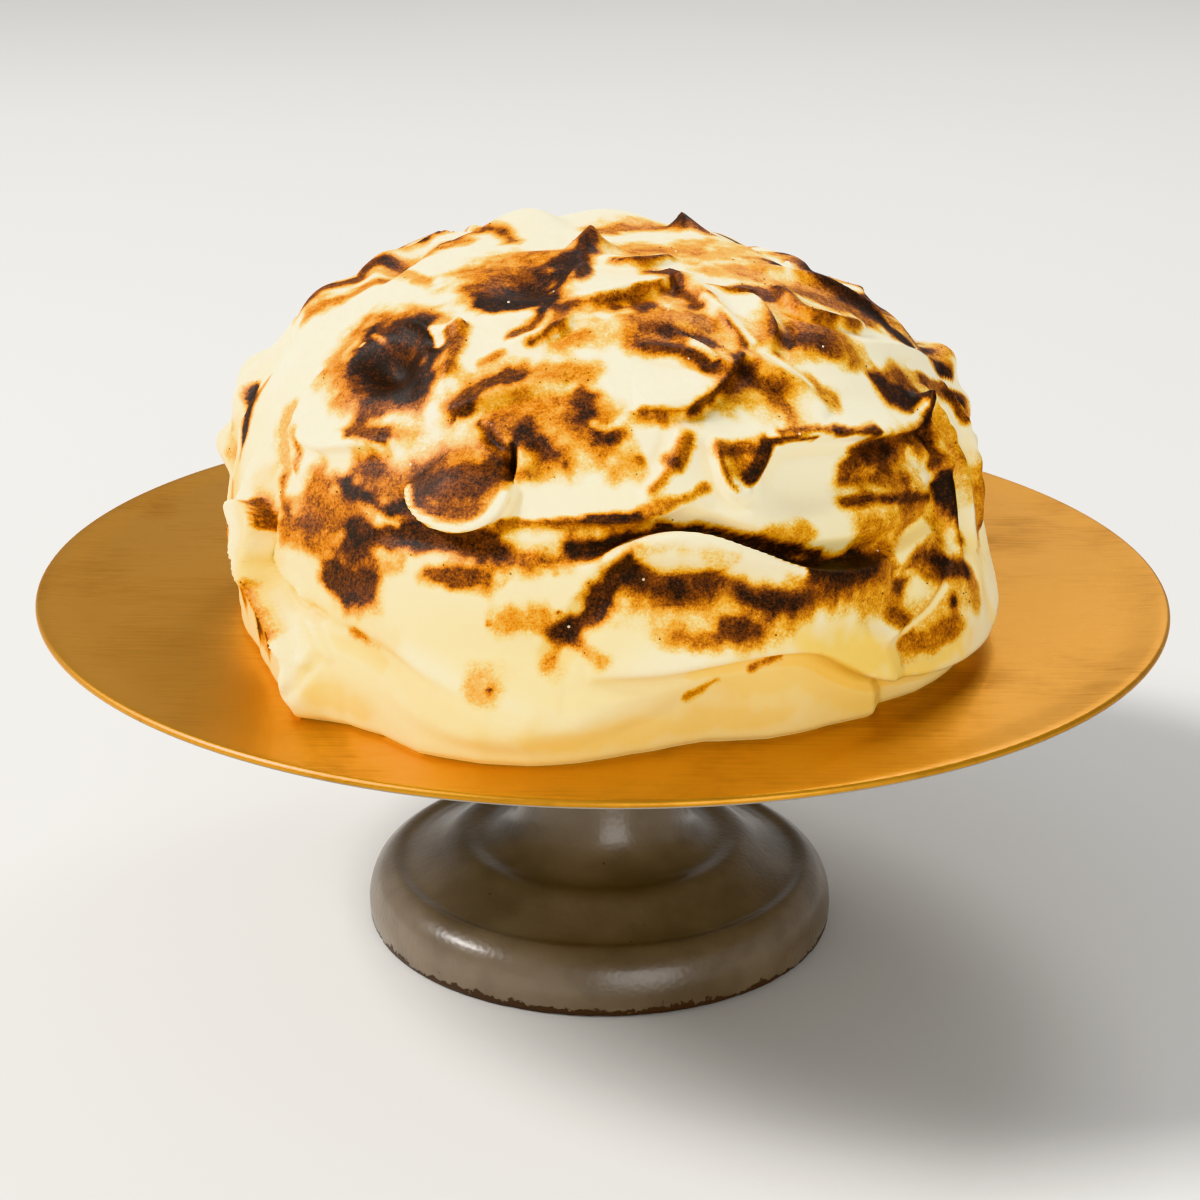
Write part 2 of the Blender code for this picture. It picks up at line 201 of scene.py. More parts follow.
class MaterialGraph(Graph):
    """The node tree of one material, with its Principled shader."""

    def __init__(self, name: str) -> None:
        """Start a material with nothing but a Principled shader and its output.

        Args:
            name: The material's name.
        """
        self.material = bpy.data.materials.new(name)
        self.material.use_nodes = True
        super().__init__(self.material.node_tree)
        self.shader = self.tree.nodes["Principled BSDF"]

    def place(self) -> Value:
        """The point on the object, in metres from its origin."""
        return self.node("ShaderNodeTexCoord", {}, (), "Object")

    def stretched(self, scale: tuple[float, float, float], turn: float) -> Value:
        """The point on the object, scaled along its axes and turned about Z by so many radians."""
        inputs = {"Vector": self.place(), "Rotation": (0, 0, turn), "Scale": scale}
        return self.node("ShaderNodeMapping", {}, inputs)

    def attribute(self, name: str) -> Value:
        """A number stored on the mesh's points."""
        return self.node("ShaderNodeAttribute", {"attribute_name": name}, (), "Fac")

    def noise(self, scale: float, detail: float = 2.0, rough: float = 0.5,
              at: Value | None = None, twist: float = 0.0) -> Value:
        """A noise pattern between 0 and 1.

        Args:
            scale: Cells per metre.
            detail: Octaves.
            rough: Strength of each finer octave.
            at: The point, or the point on the object when left out.
            twist: Distortion.

        Returns:
            The pattern.
        """
        inputs = {"Vector": at or self.place(), "Scale": scale, "Detail": detail,
                  "Roughness": rough, "Distortion": twist}
        return self.node("ShaderNodeTexNoise", {}, inputs)

    def cells(self, scale: float) -> Value:
        """The distance to the middle of the nearest of so many cells per metre."""
        inputs = {"Vector": self.place(), "Scale": scale}
        return self.node("ShaderNodeTexVoronoi", {"feature": "F1"}, inputs, "Distance")

    def ramp(self, value: Value, stops: Sequence[tuple[float, Colour]]) -> Value:
        """The colour at a value on a ramp with the given stops."""
        return self.node("ShaderNodeValToRGB", {"stops": stops}, [value], "Color")

    def mix(self, share: Value, first: Value | Colour, second: Value | Colour) -> Value:
        """Mix two colours.

        Args:
            share: How much of the second, from 0 to 1.
            first: The first colour.
            second: The second colour.

        Returns:
            The mixed colour.
        """
        first, second = (c if isinstance(c, Value) else (*c, 1.0) for c in (first, second))
        inputs = {0: share, 6: first, 7: second}
        return self.node("ShaderNodeMix", {"data_type": "RGBA"}, inputs, 2)

    def bump(self, height: Value, distance: float, strength: float) -> Value:
        """A normal bent by a height of so many metres."""
        inputs = {"Height": height, "Distance": distance, "Strength": strength}
        return self.node("ShaderNodeBump", {}, inputs, "Normal")

    def finish(self, links: dict[str, Value], **numbers: float | tuple) -> bpy.types.Material:
        """Feed the Principled shader.

        Args:
            links: Values that vary over the surface, by socket name.
            numbers: Numbers and colours that are the same all over, by socket name with
                underscores for spaces.

        Returns:
            The material.
        """
        for name, value in links.items():
            self.tree.links.new(value.socket, self.shader.inputs[name])
        for name, number in numbers.items():
            self.shader.inputs[name.replace("_", " ")].default_value = number
        return self.material


class ShapeGraph(Graph):
    """A Geometry Nodes tree with named inputs."""

    def __init__(self, name: str, **inputs: str) -> None:
        """Start a tree.

        Args:
            name: Its name.
            inputs: The types of its inputs' sockets by name, such as Steps="Int".
        """
        super().__init__(bpy.data.node_groups.new(name, "GeometryNodeTree"))
        face = self.tree.interface
        face.new_socket("Geometry", in_out="INPUT", socket_type="NodeSocketGeometry")
        face.new_socket("Geometry", in_out="OUTPUT", socket_type="NodeSocketGeometry")
        self.keys = {}
        for key, kind in inputs.items():
            made = face.new_socket(key.replace("_", " "), in_out="INPUT",
                                   socket_type="NodeSocket" + kind)
            self.keys[key] = made.identifier
        self.source = self.tree.nodes.new("NodeGroupInput")

    def given(self, key: str) -> Value:
        """One named input."""
        return Value(self, self.source.outputs[key.replace("_", " ")])

    def close(self, geometry: Value, material: bpy.types.Material) -> None:
        """End the tree in real, smooth geometry of one material.

        Args:
            geometry: The finished geometry, with or without instances.
            material: Its material.
        """
        real = self.node("GeometryNodeRealizeInstances", {}, [geometry])
        smooth = self.node("GeometryNodeSetShadeSmooth", {}, [real])
        dressed = self.node("GeometryNodeSetMaterial", {},
                            {"Geometry": smooth, "Material": material})
        end = self.tree.nodes.new("NodeGroupOutput")
        self.tree.links.new(dressed.socket, end.inputs[0])

    def apply(self, holder: bpy.types.Object, name: str,
              **values: float | int) -> bpy.types.Object:
        """Run the tree on an object that it uses up.

        Args:
            holder: The object with the tree's input mesh.
            name: The new object's name.
            values: Values of the tree's inputs by name.

        Returns:
            A plain mesh object with no modifier left on it.
        """
        modifier = holder.modifiers.new("nodes", "NODES")
        modifier.node_group = self.tree
        for key, value in values.items():
            modifier[self.keys[key]] = value
        evaluated = holder.evaluated_get(bpy.context.evaluated_depsgraph_get())
        mesh = bpy.data.meshes.new_from_object(evaluated)
        mesh.name = name
        piece = added(name, mesh)
        bpy.data.objects.remove(holder, do_unlink=True)
        return piece


# ---------------------------------------------------------------- finishes


@dataclass(frozen=True)
class MeringueFinish:
    """Glossy cream meringue, torched from gold through amber to black.

    Down through the glow heights the cream is painted towards yellow, a painted glow and a painted
    reflection of the gilded plate, and at its very foot towards honey, a stronger painted
    reflection of the plate. Over the toasted heats it browns, and over the crusted ones it crusts.
    """

    cream: Colour = (0.960, 0.880, 0.650)
    # painted glow and painted reflection of the gilded plate: the yellow and the honey that the low
    # cream is drawn towards
    glow_yellow: Colour = (1.000, 0.790, 0.320)
    reflected_honey: Colour = (1.000, 0.690, 0.170)
    straw: Colour = (0.920, 0.660, 0.200)
    gold: Colour = (0.840, 0.410, 0.030)
    amber: Colour = (0.520, 0.165, 0.004)
    brown: Colour = (0.190, 0.046, 0.003)
    char: Colour = (0.045, 0.013, 0.004)
    soot: Colour = (0.015, 0.009, 0.006)
    # heights over which the painted glow and the painted reflection of the plate fade out
    glow_heights: tuple[float, float] = (0.108, 0.176)
    reflection_heights: tuple[float, float] = (0.100, 0.110)
    grain_cells: float = 2600
    speckle_cells: float = 1250
    mottle_cells: float = 330
    froth_cells: float = 420
    toasted: tuple[float, float] = (0.06, 0.32)
    crusted: tuple[float, float] = (0.35, 0.9)
    bump_depth: float = 0.00016

    def material(self) -> bpy.types.Material:
        """Build the material from how hot each point was and how deep it lies in a crease, with
        painted shade in the creases, a painted highlight on the crests and a painted reflection of
        the plate low down.

        Returns:
            The material.
        """
        graph = MaterialGraph("meringue_finish")
        heat = graph.attribute("toast")
        grain = graph.noise(self.grain_cells, 2.0, 0.7)
        speckle = graph.noise(self.speckle_cells, 2.0, 0.65)
        mottle = graph.noise(self.mottle_cells, 3.0, 0.6, twist=0.4)
        froth = graph.noise(self.froth_cells, 2.0)
        touched = heat.step(0.04, 0.35) * (1 - 0.5 * heat.step(0.75, 1.0))
        uneven = (grain - 0.5) * 0.45 + (speckle - 0.5) * 0.5 + (mottle - 0.5) * 0.4
        level = heat + touched * uneven
        height = graph.place().axis("Z")
        hollow = graph.attribute("hollow")
        # painted glow low on the cream, and below it a painted reflection of the gilded plate at
        # the very foot
        low = 1 - (height + (graph.noise(25, 1.0) - 0.5) * 0.03).step(*self.glow_heights)
        plate_reflection = 1 - (height + (graph.noise(40, 1.0) - 0.5) * 0.008).step(*self.reflection_heights)
        # painted shade: the cream drawn yellower in the creases
        crease = hollow.step(0.02, 0.6) * (0.3 + low * 0.7)
        # painted highlight: the cream kept paler on the crests
        crest = (hollow * -1.0).step(0.8, 3.0) * low * 0.5
        pale = graph.mix((low * 0.85 + crease * 0.5 - crest).clamp(), self.cream, self.glow_yellow)
        # share of honey: painted reflection of the plate, painted shade in the creases and the
        # painted strokes of reflection and shade
        painted_warm_share = plate_reflection * 0.3 + crease * low * 0.5 + graph.attribute("reflection_and_shade")
        base = graph.mix(painted_warm_share.clamp(), pale, self.reflected_honey)
        browned = graph.ramp(level.clamp(), (
            (0.08, self.straw), (0.27, self.straw), (0.45, self.gold), (0.65, self.amber),
            (0.83, self.brown), (0.96, self.char), (1.00, self.soot)))
        colour = graph.mix(level.step(*self.toasted), base, browned)
        crust = heat.step(*self.crusted)
        relief = grain * (0.2 + 0.8 * crust) + speckle * 0.8 * crust + froth * 0.5
        rough = 0.44 + crust * 0.14 + (speckle - 0.5) * 0.2
        return graph.finish(
            {"Base Color": colour, "Roughness": rough,
             "Normal": graph.bump(relief, self.bump_depth, 0.6)},
            Subsurface_Weight=0.12, Subsurface_Radius=(0.010, 0.006, 0.003),
            Subsurface_Scale=0.2, Specular_IOR_Level=0.26)


@dataclass(frozen=True)
class GiltFinish:
    """Gold leaf rubbed in fine strokes, darker where it is worn, over painted metal."""

    leaf: Colour = (0.620, 0.300, 0.050)
    worn: Colour = (0.320, 0.135, 0.025)
    paint: Colour = (0.330, 0.290, 0.225)
    leaf_top: float = 0.09905
    leaf_edge: float = 0.0001
    rub_angle: float = 0.12
    rub_cells: float = 60
    hair_cells: float = 500
    cloud_cells: float = 22
    worn_through: tuple[float, float] = (0.40, 0.74)
    bump_depth: float = 0.00010

    def material(self) -> bpy.types.Material:
        """Build the material: gilt above the rim's edge, paint below it.

        Returns:
            The material.
        """
        graph = MaterialGraph("gilt_finish")
        broad = graph.stretched((1, 14, 1), self.rub_angle)
        narrow = graph.stretched((1, 9, 1), self.rub_angle)
        strokes = graph.noise(self.rub_cells, 4.0, 0.6, at=broad)
        hair = graph.noise(self.hair_cells, 3.0, 0.6, at=narrow)
        cloud = graph.noise(self.cloud_cells, 4.0, 0.6, twist=0.4)
        wear = (strokes * 0.3 + cloud * 0.75 - 0.05).step(*self.worn_through)
        height = graph.place().axis("Z")
        gilt = height.step(self.leaf_top - self.leaf_edge, self.leaf_top + self.leaf_edge)
        colour = graph.mix(gilt, self.paint, graph.mix(wear, self.leaf, self.worn))
        rough = 0.42 + wear * 0.14 + (hair - 0.5) * 0.16
        return graph.finish(
            {"Base Color": colour, "Metallic": gilt, "Roughness": rough,
             "Normal": graph.bump(hair + strokes * 1.5, self.bump_depth, 0.4)})


@dataclass(frozen=True)
class StonewareFinish:
    """Grey-beige gloss paint over a pitted casting, chipped dark at the bottom edge."""

    paint: Colour = (0.190, 0.144, 0.098)
    shade: Colour = (0.128, 0.095, 0.064)
    chip: Colour = (0.050, 0.024, 0.012)
    chip_height: float = 0.0026
    chip_stray: float = 0.008
    pit_cells: float = 170
    peel_cells: float = 620
    bump_depth: float = 0.00018

    def material(self) -> bpy.types.Material:
        """Build the material, with its chips low down and its pits everywhere.

        Returns:
            The material.
        """
        graph = MaterialGraph("foot_finish")
        cloud = graph.noise(40, 3.0, 0.55)
        colour = graph.mix(cloud.step(0.35, 0.7), self.paint, self.shade)
        edge = graph.noise(260, 3.0, 0.65)
        height = graph.place().axis("Z")
        chips = (self.chip_height - height + (edge - 0.5) * self.chip_stray).step(0.0, 0.0006)
        pits = 1 - graph.cells(self.pit_cells).step(0.0, 0.11)
        specks = pits * graph.noise(60, 1.0).step(0.56, 0.60)
        colour = graph.mix(chips.at_least(specks), colour, self.chip)
        peel = graph.cells(self.peel_cells) * 0.7 + graph.noise(900, 2.0) * 0.5
        return graph.finish(
            {"Base Color": colour, "Roughness": 0.32 + chips * 0.4 + (cloud - 0.5) * 0.1,
             "Normal": graph.bump(peel - chips * 2.0, self.bump_depth, 0.45)},
            Specular_IOR_Level=0.5, Coat_Weight=0.25, Coat_Roughness=0.2)


@dataclass(frozen=True)
class CloudedFinish:
    """A plain finish that drifts between two colours."""

    name: str
    colour: Colour
    tint: Colour
    cells: float
    roughness: float

    def material(self) -> bpy.types.Material:
        """Build the material."""
        graph = MaterialGraph(self.name)
        colour = graph.mix(graph.noise(self.cells, 1.0), self.colour, self.tint)
        return graph.finish({"Base Color": colour}, Roughness=self.roughness)


PAPER = CloudedFinish("floor_finish", (0.66, 0.65, 0.63), (0.6402, 0.6305, 0.6111), 3.0, 0.8)
CARAMEL = CloudedFinish("caramel_finish", (0.10, 0.03, 0.01), (0.30, 0.11, 0.02), 180, 0.2)
PALE_SUGAR = CloudedFinish("pale_sugar_finish", (0.80, 0.62, 0.36), (0.88, 0.80, 0.62), 180, 0.4)


# ---------------------------------------------------------------- the dome and its folds


class Crest(Enum):
    """How a fold falls away from its line."""

    ROUND = "rolled over on both sides"
    SHARP = "drawn up to a thin ridge"
    LIP = "swept up on its long side, rolled over and creased on its short side"


ROUND, SHARP, LIP = Crest


@dataclass(frozen=True)
class Fold:
    """A ridge, or with a negative height a groove, along a path on the dome.

    lean carries the crest down over the slope below it, or up where it is negative.
    """

    path: Path
    height: float
    above: float
    below: float
    lean: float = 0.0
    crest: Crest = ROUND


@dataclass(frozen=True)
class Mound:
    """A round swelling, or with a negative height a scoop; pull drags its tip (right, up)."""

    azimuth: float
    lift: float
    across: float
    upward: float
    height: float
    pull: tuple[float, float] = (0.0, 0.0)
    crest: Crest = ROUND


@dataclass(frozen=True)
class Scorch:
    """A browned stroke: full heat within core of its path, fading out above and below.

    A negative heat bares the cream again.
    """

    path: Path
    heat: float
    core: float
    above: float
    below: float


@dataclass(frozen=True)
class Stroke:
    """A spatula stroke: a swept lip, raised so many mm, with its underside browned."""

    path: Path
    height: float
    sweep: float
    heat: float
    core: float
    curl: float = 2.8
    lean: float = 1.0
    drop: float = 2.5
    fade: tuple[float, float] = (2.0, 3.5)

    def fold(self) -> Fold:
        """The lip."""
        return Fold(self.path, self.height, self.sweep, self.curl, self.lean, LIP)

    def scorch(self) -> Scorch:
        """The browning that starts on the lip and runs down below it."""
        under = tuple((azimuth, lift - self.drop) for azimuth, lift in self.path[:-1])
        return Scorch(under, self.heat, self.core, *self.fade)


def from_rows(kind: type[Fold] | type[Scorch],
              rows: Iterable[tuple]) -> tuple[Fold | Scorch, ...]:
    """Folds or scorches from rows.

    Args:
        kind: Fold or Scorch.
        rows: Its fields in order, but with the path as azimuth and lift in turn.

    Returns:
        The folds or scorches.
    """
    return tuple(kind(tuple(zip(path[::2], path[1::2])), *rest) for path, *rest in rows)


@dataclass(frozen=True)
class Back:
    """How the front's marks are repeated on the back, turned round and a little lower.

    Marks that reach farther round than edge or higher than crown stay out, because the
    sides have their own and the crown is shared. tilt raises a mark by so much for each
    degree that it lies right of the front's middle, and widening makes folds broader.
    """

    turn: float = 176.0
    edge: float = 72.0
    crown: float = 70.0
    lowering: float = 0.94
    tilt: float = 0.02
    widening: float = 1.2

    def repeated(self, front: Iterable[Fold | Scorch]) -> Iterable[Fold | Scorch]:
        """Move marks to the back.

        Args:
            front: The front's marks.

        Yields:
            Those that are repeated, in their new places.
        """
        for mark in front:
            if all(abs(azimuth) < self.edge and lift < self.crown for azimuth, lift in mark.path):
                yield replace(mark, path=tuple(
                    (azimuth + self.turn, self.lowering * lift + self.tilt * azimuth)
                    for azimuth, lift in mark.path))

    def folds(self, front: Iterable[Fold]) -> Iterable[Fold]:
        """The folds that are repeated, widened."""
        for fold in self.repeated(front):
            yield replace(fold, above=self.widening * fold.above,
                          below=self.widening * fold.below)


def smooth_line(corners: np.ndarray, spans: int) -> np.ndarray:
    """A smooth line through points.

    Args:
        corners: The points, two or more.
        spans: How many short steps lie between each two.

    Returns:
        The points of the line.
    """
    ends = np.vstack([2 * corners[0] - corners[1], corners, 2 * corners[-1] - corners[-2]])
    made = []
    for a, b, c, d in zip(ends, ends[1:], ends[2:], ends[3:]):
        for t in np.linspace(0, 1, spans + 1)[:-1]:
            made.append(0.5 * (2 * b + (c - a) * t + (2 * a - 5 * b + 4 * c - d) * t ** 2
                               + (3 * b - a - 3 * c + d) * t ** 3))
    return np.array(made + [corners[-1]])


@dataclass
class Dome:
    """The smooth squarish dome that the folds are raised on."""

    floor: float
    centre_y: float = -0.022
    half_width: float = 0.0975
    front_depth: float = 0.1045
    back_depth: float = 0.100
    height: float = 0.0953
    squareness: float = 2.75
    path_samples: int = 28
    speck: float = 1e-5

    def points(self, azimuth: np.ndarray, lift: np.ndarray) -> np.ndarray:
        """Place points on the dome.

        Args:
            azimuth: Their azimuths in radians.
            lift: Their lifts in radians.

        Returns:
            The points.
        """
        out = np.abs(np.cos(lift)) ** (2 / self.squareness)
        up = np.abs(np.sin(lift)) ** (2 / self.squareness)
        depth = np.where(np.cos(azimuth) > 0, self.front_depth, self.back_depth)
        x = self.half_width * np.sin(azimuth) * out
        y = self.centre_y - depth * np.cos(azimuth) * out
        return np.stack([x, y, self.floor + self.height * up], axis=-1)

    def normals(self, points: np.ndarray) -> np.ndarray:
        """Find the dome's outward directions.

        Args:
            points: Points on the dome.

        Returns:
            The unit normals there.
        """
        p = points - np.array([0.0, self.centre_y, self.floor])
        depth = np.where(p[..., 1] < 0, self.front_depth, self.back_depth)
        radial = np.hypot(p[..., 0] / self.half_width, p[..., 1] / depth)
        power = self.squareness - 1
        flat = np.maximum(radial, 1e-4) ** (power - 1)
        normal = np.stack([
            flat * p[..., 0] / self.half_width ** 2,
            flat * p[..., 1] / depth ** 2,
            np.maximum(p[..., 2] / self.height, 0) ** power / self.height,
        ], axis=-1)
        return normal / np.maximum(np.linalg.norm(normal, axis=-1, keepdims=True), 1e-12)

    def run(self, path: Path) -> np.ndarray:
        """Lay a path on the dome.

        Args:
            path: The path, or a single place.

        Returns:
            A smooth run of points through the path's own, or a speck at the place.
        """
        corners = self.points(*np.radians(np.array(path, float)).T)
        if len(corners) == 1:
            corners = np.vstack([corners, corners + self.speck])
        return smooth_line(corners, self.path_samples // (len(corners) - 1) + 1)


@dataclass
class Along:
    """Where points lie beside a path: which ones, how far, on which side, how far along."""

    chosen: np.ndarray
    distance: np.ndarray
    side: np.ndarray
    share: np.ndarray
    upward: np.ndarray


CREASE_REACH = 2.3
CREASE_DEPTH = 0.22
CREASE_WIDENING = 1.15
TIP_ROUNDING = 0.06
FLANK_HOLLOW = 1.8

# Waves that make a scorch's edge ragged: share, swell in metres, seed
EDGE_WAVES = ((1.0, 0.0075, 2.3), (0.7, 0.003, 5.9))


def swell(ratio: np.ndarray) -> np.ndarray:
    """1 at 0, falling smoothly to 0 at 1."""
    return np.clip(1 - ratio ** 2, 0, 1) ** 2


def peaked(ratio: np.ndarray) -> np.ndarray:
    """A ridge with hollow flanks and a barely rounded tip.

    Args:
        ratio: Distances from the ridge, 1 being its foot.

    Returns:
        Heights from 1 on the ridge to 0 at its foot and beyond.
    """
    away = np.sqrt(ratio ** 2 + TIP_ROUNDING ** 2) - TIP_ROUNDING
    foot = math.sqrt(1 + TIP_ROUNDING ** 2) - TIP_ROUNDING
    return np.clip(1 - away / foot, 0, 1) ** FLANK_HOLLOW


def creased(ratio: np.ndarray) -> np.ndarray:
    """A rolled edge with a crease under it.

    Args:
        ratio: Distances from the edge, 1 being where the roll ends.

    Returns:
        Heights from 1 at the edge, below 0 in the crease and 0 from CREASE_REACH.
    """
    middle = (1 + CREASE_REACH) / 2
    beyond = (ratio - middle) / (CREASE_REACH - middle) / CREASE_WIDENING
    return swell(ratio) - CREASE_DEPTH * swell(beyond)


@dataclass(frozen=True)
class Edge:
    """How a scorch fades: how far for its stated fade, how steeply, and how raggedly.

    core is the share of the stated core that is kept, and wander and slack say how far
    the edge strays and is followed for the size of that core.
    """

    spread: float
    steepness: float
    ragged: float
    core: float
    wander: float = 0.2
    slack: float = 0.3


BROWNED = Edge(spread=3.0, steepness=2.3, ragged=0.30, core=0.8)
BARED = Edge(spread=1.0, steepness=1.5, ragged=0.2, core=1.0)


class Relief:
    """Moves the points of a dome by folds and mounds, and works out their heat."""

    def __init__(self, dome: Dome, azimuth: np.ndarray, lift: np.ndarray) -> None:
        """Take the smooth dome's points.

        Args:
            dome: The dome.
            azimuth: The points' azimuths in radians.
            lift: Their lifts in radians.
        """
        self.dome = dome
        self.azimuth, self.lift = azimuth, lift
        self.points = dome.points(azimuth, lift)
        self.normals = dome.normals(self.points)
        self.shift = np.zeros_like(self.points)
        # the third layer holds painted reflection of the plate and painted shade in creases
        self.heat, self.hollow, self.reflection_and_shade = np.zeros((3, len(self.points)))
        self.ragged = sum(share * self.waves(scale, seed) for share, scale, seed in EDGE_WAVES)

    def beside(self, path: Path, reach: float) -> Along:
        """Measure the points near a path.

        Args:
            path: The path.
            reach: How far from it, in metres, points are measured.

        Returns:
            Where those points lie beside it.
        """
        run = self.dome.run(path)
        low, high = run.min(axis=0) - reach, run.max(axis=0) + reach
        chosen = np.nonzero(((self.points > low) & (self.points < high)).all(axis=1))[0]
        points, normals = self.points[chosen], self.normals[chosen]
        start, leg = run[:-1], np.diff(run, axis=0)
        length = np.linalg.norm(leg, axis=1)
        along = np.concatenate([[0], np.cumsum(length)])
        best = np.full(len(points), np.inf)
        offset = np.zeros_like(points)
        share = np.zeros(len(points))
        which = np.zeros(len(points), int)
        for k in range(len(leg)):
            to_point = points - start[k]
            t = np.clip(to_point @ leg[k] / length[k] ** 2, 0, 1)
            away = to_point - t[:, None] * leg[k]
            distance = np.einsum("ij,ij->i", away, away)
            closer = distance < best
            best[closer] = distance[closer]
            offset[closer] = away[closer]
            share[closer] = (along[k] + t[closer] * length[k]) / along[-1]
            which[closer] = k
        upward = np.cross(normals, (leg / length[:, None])[which])
        side = np.einsum("ij,ij->i", offset, upward)
        return Along(chosen, np.sqrt(best), side, share, upward)

    def fold(self, fold: Fold) -> None:
        """Raise one fold.

        Args:
            fold: The fold.
        """
        short, long = sorted((fold.above, fold.below))
        at = self.beside(fold.path, max(long, CREASE_REACH * short) * MM)
        upper = at.side > 0
        ratio = at.distance / (np.where(upper, fold.above, fold.below) * MM)
        if fold.crest is LIP:
            steep = upper == (fold.above < fold.below)
            profile = np.where(steep, creased(ratio), peaked(ratio))
        else:
            profile = peaked(ratio) if fold.crest is SHARP else swell(ratio)
        ends = np.sqrt(np.clip(np.sin(math.pi * at.share), 0, 1))
        strength = profile * ends * MM
        normals = self.normals[at.chosen]
        self.shift[at.chosen] += strength[:, None] * (
            fold.height * normals - fold.lean * at.upward)
        self.hollow[at.chosen] -= profile * ends * fold.height

    def mound(self, mound: Mound) -> None:
        """Raise one mound.

        Args:
            mound: The mound.
        """
        centre = self.dome.points(*np.radians([mound.azimuth, mound.lift]))
        out = self.dome.normals(centre)
        across = np.cross([0.0, 0.0, 1.0], out)
        across = across / max(np.linalg.norm(across), 1e-9)
        upward = np.cross(out, across)
        offset = self.points - centre
        u = offset @ across / (mound.across * MM)
        v = offset @ upward / (mound.upward * MM)
        w = offset @ out / (max(mound.across, mound.upward) * MM)
        fall = peaked if mound.crest is SHARP else swell
        strength = fall(np.sqrt(u ** 2 + v ** 2 + w ** 2))[:, None] * MM
        tip = mound.pull[0] * across + mound.pull[1] * upward
        self.shift += strength * (mound.height * self.normals + strength / MM * tip)

    def scorch(self, scorch: Scorch, layer: np.ndarray) -> None:
        """Brown one stroke, with a ragged edge, or paint reflected light and shade into the cream
        with it.

        Args:
            scorch: The stroke.
            layer: What it changes, the heat or the painted reflection and shade of every point.
        """
        edge = BARED if scorch.heat < 0 else BROWNED
        core = scorch.core * MM * edge.core
        reach = core + max(scorch.above, scorch.below) * MM * edge.spread * (1 + edge.ragged)
        at = self.beside(scorch.path, reach + edge.slack * core)
        fade = np.where(at.side > 0, scorch.above, scorch.below) * MM * edge.spread
        ragged = self.ragged[at.chosen] * (edge.ragged * fade + edge.wander * core)
        ratio = np.clip((at.distance - core + ragged) / fade, 0, 1)
        strength = abs(scorch.heat) * (1 - ratio) ** edge.steepness
        kept = layer[at.chosen] * (1 - strength)
        layer[at.chosen] = kept if scorch.heat < 0 else kept + strength

    def waves(self, scale: float, seed: float) -> np.ndarray:
        """Smooth noise between about -1 and 1 at every point, with swells of scale metres."""
        shift = Vector((seed, seed * 0.7, seed * 1.3))
        return np.array([noise.noise(Vector(p) / scale + shift) for p in self.points.tolist()])

    def ripple(self, scale: float, height: float, seed: float) -> None:
        """Add gentle waviness of so many mm, with swells of scale metres."""
        self.shift += (self.waves(scale, seed) * height * MM)[:, None] * self.normals


# ---------------------------------------------------------------- the dessert

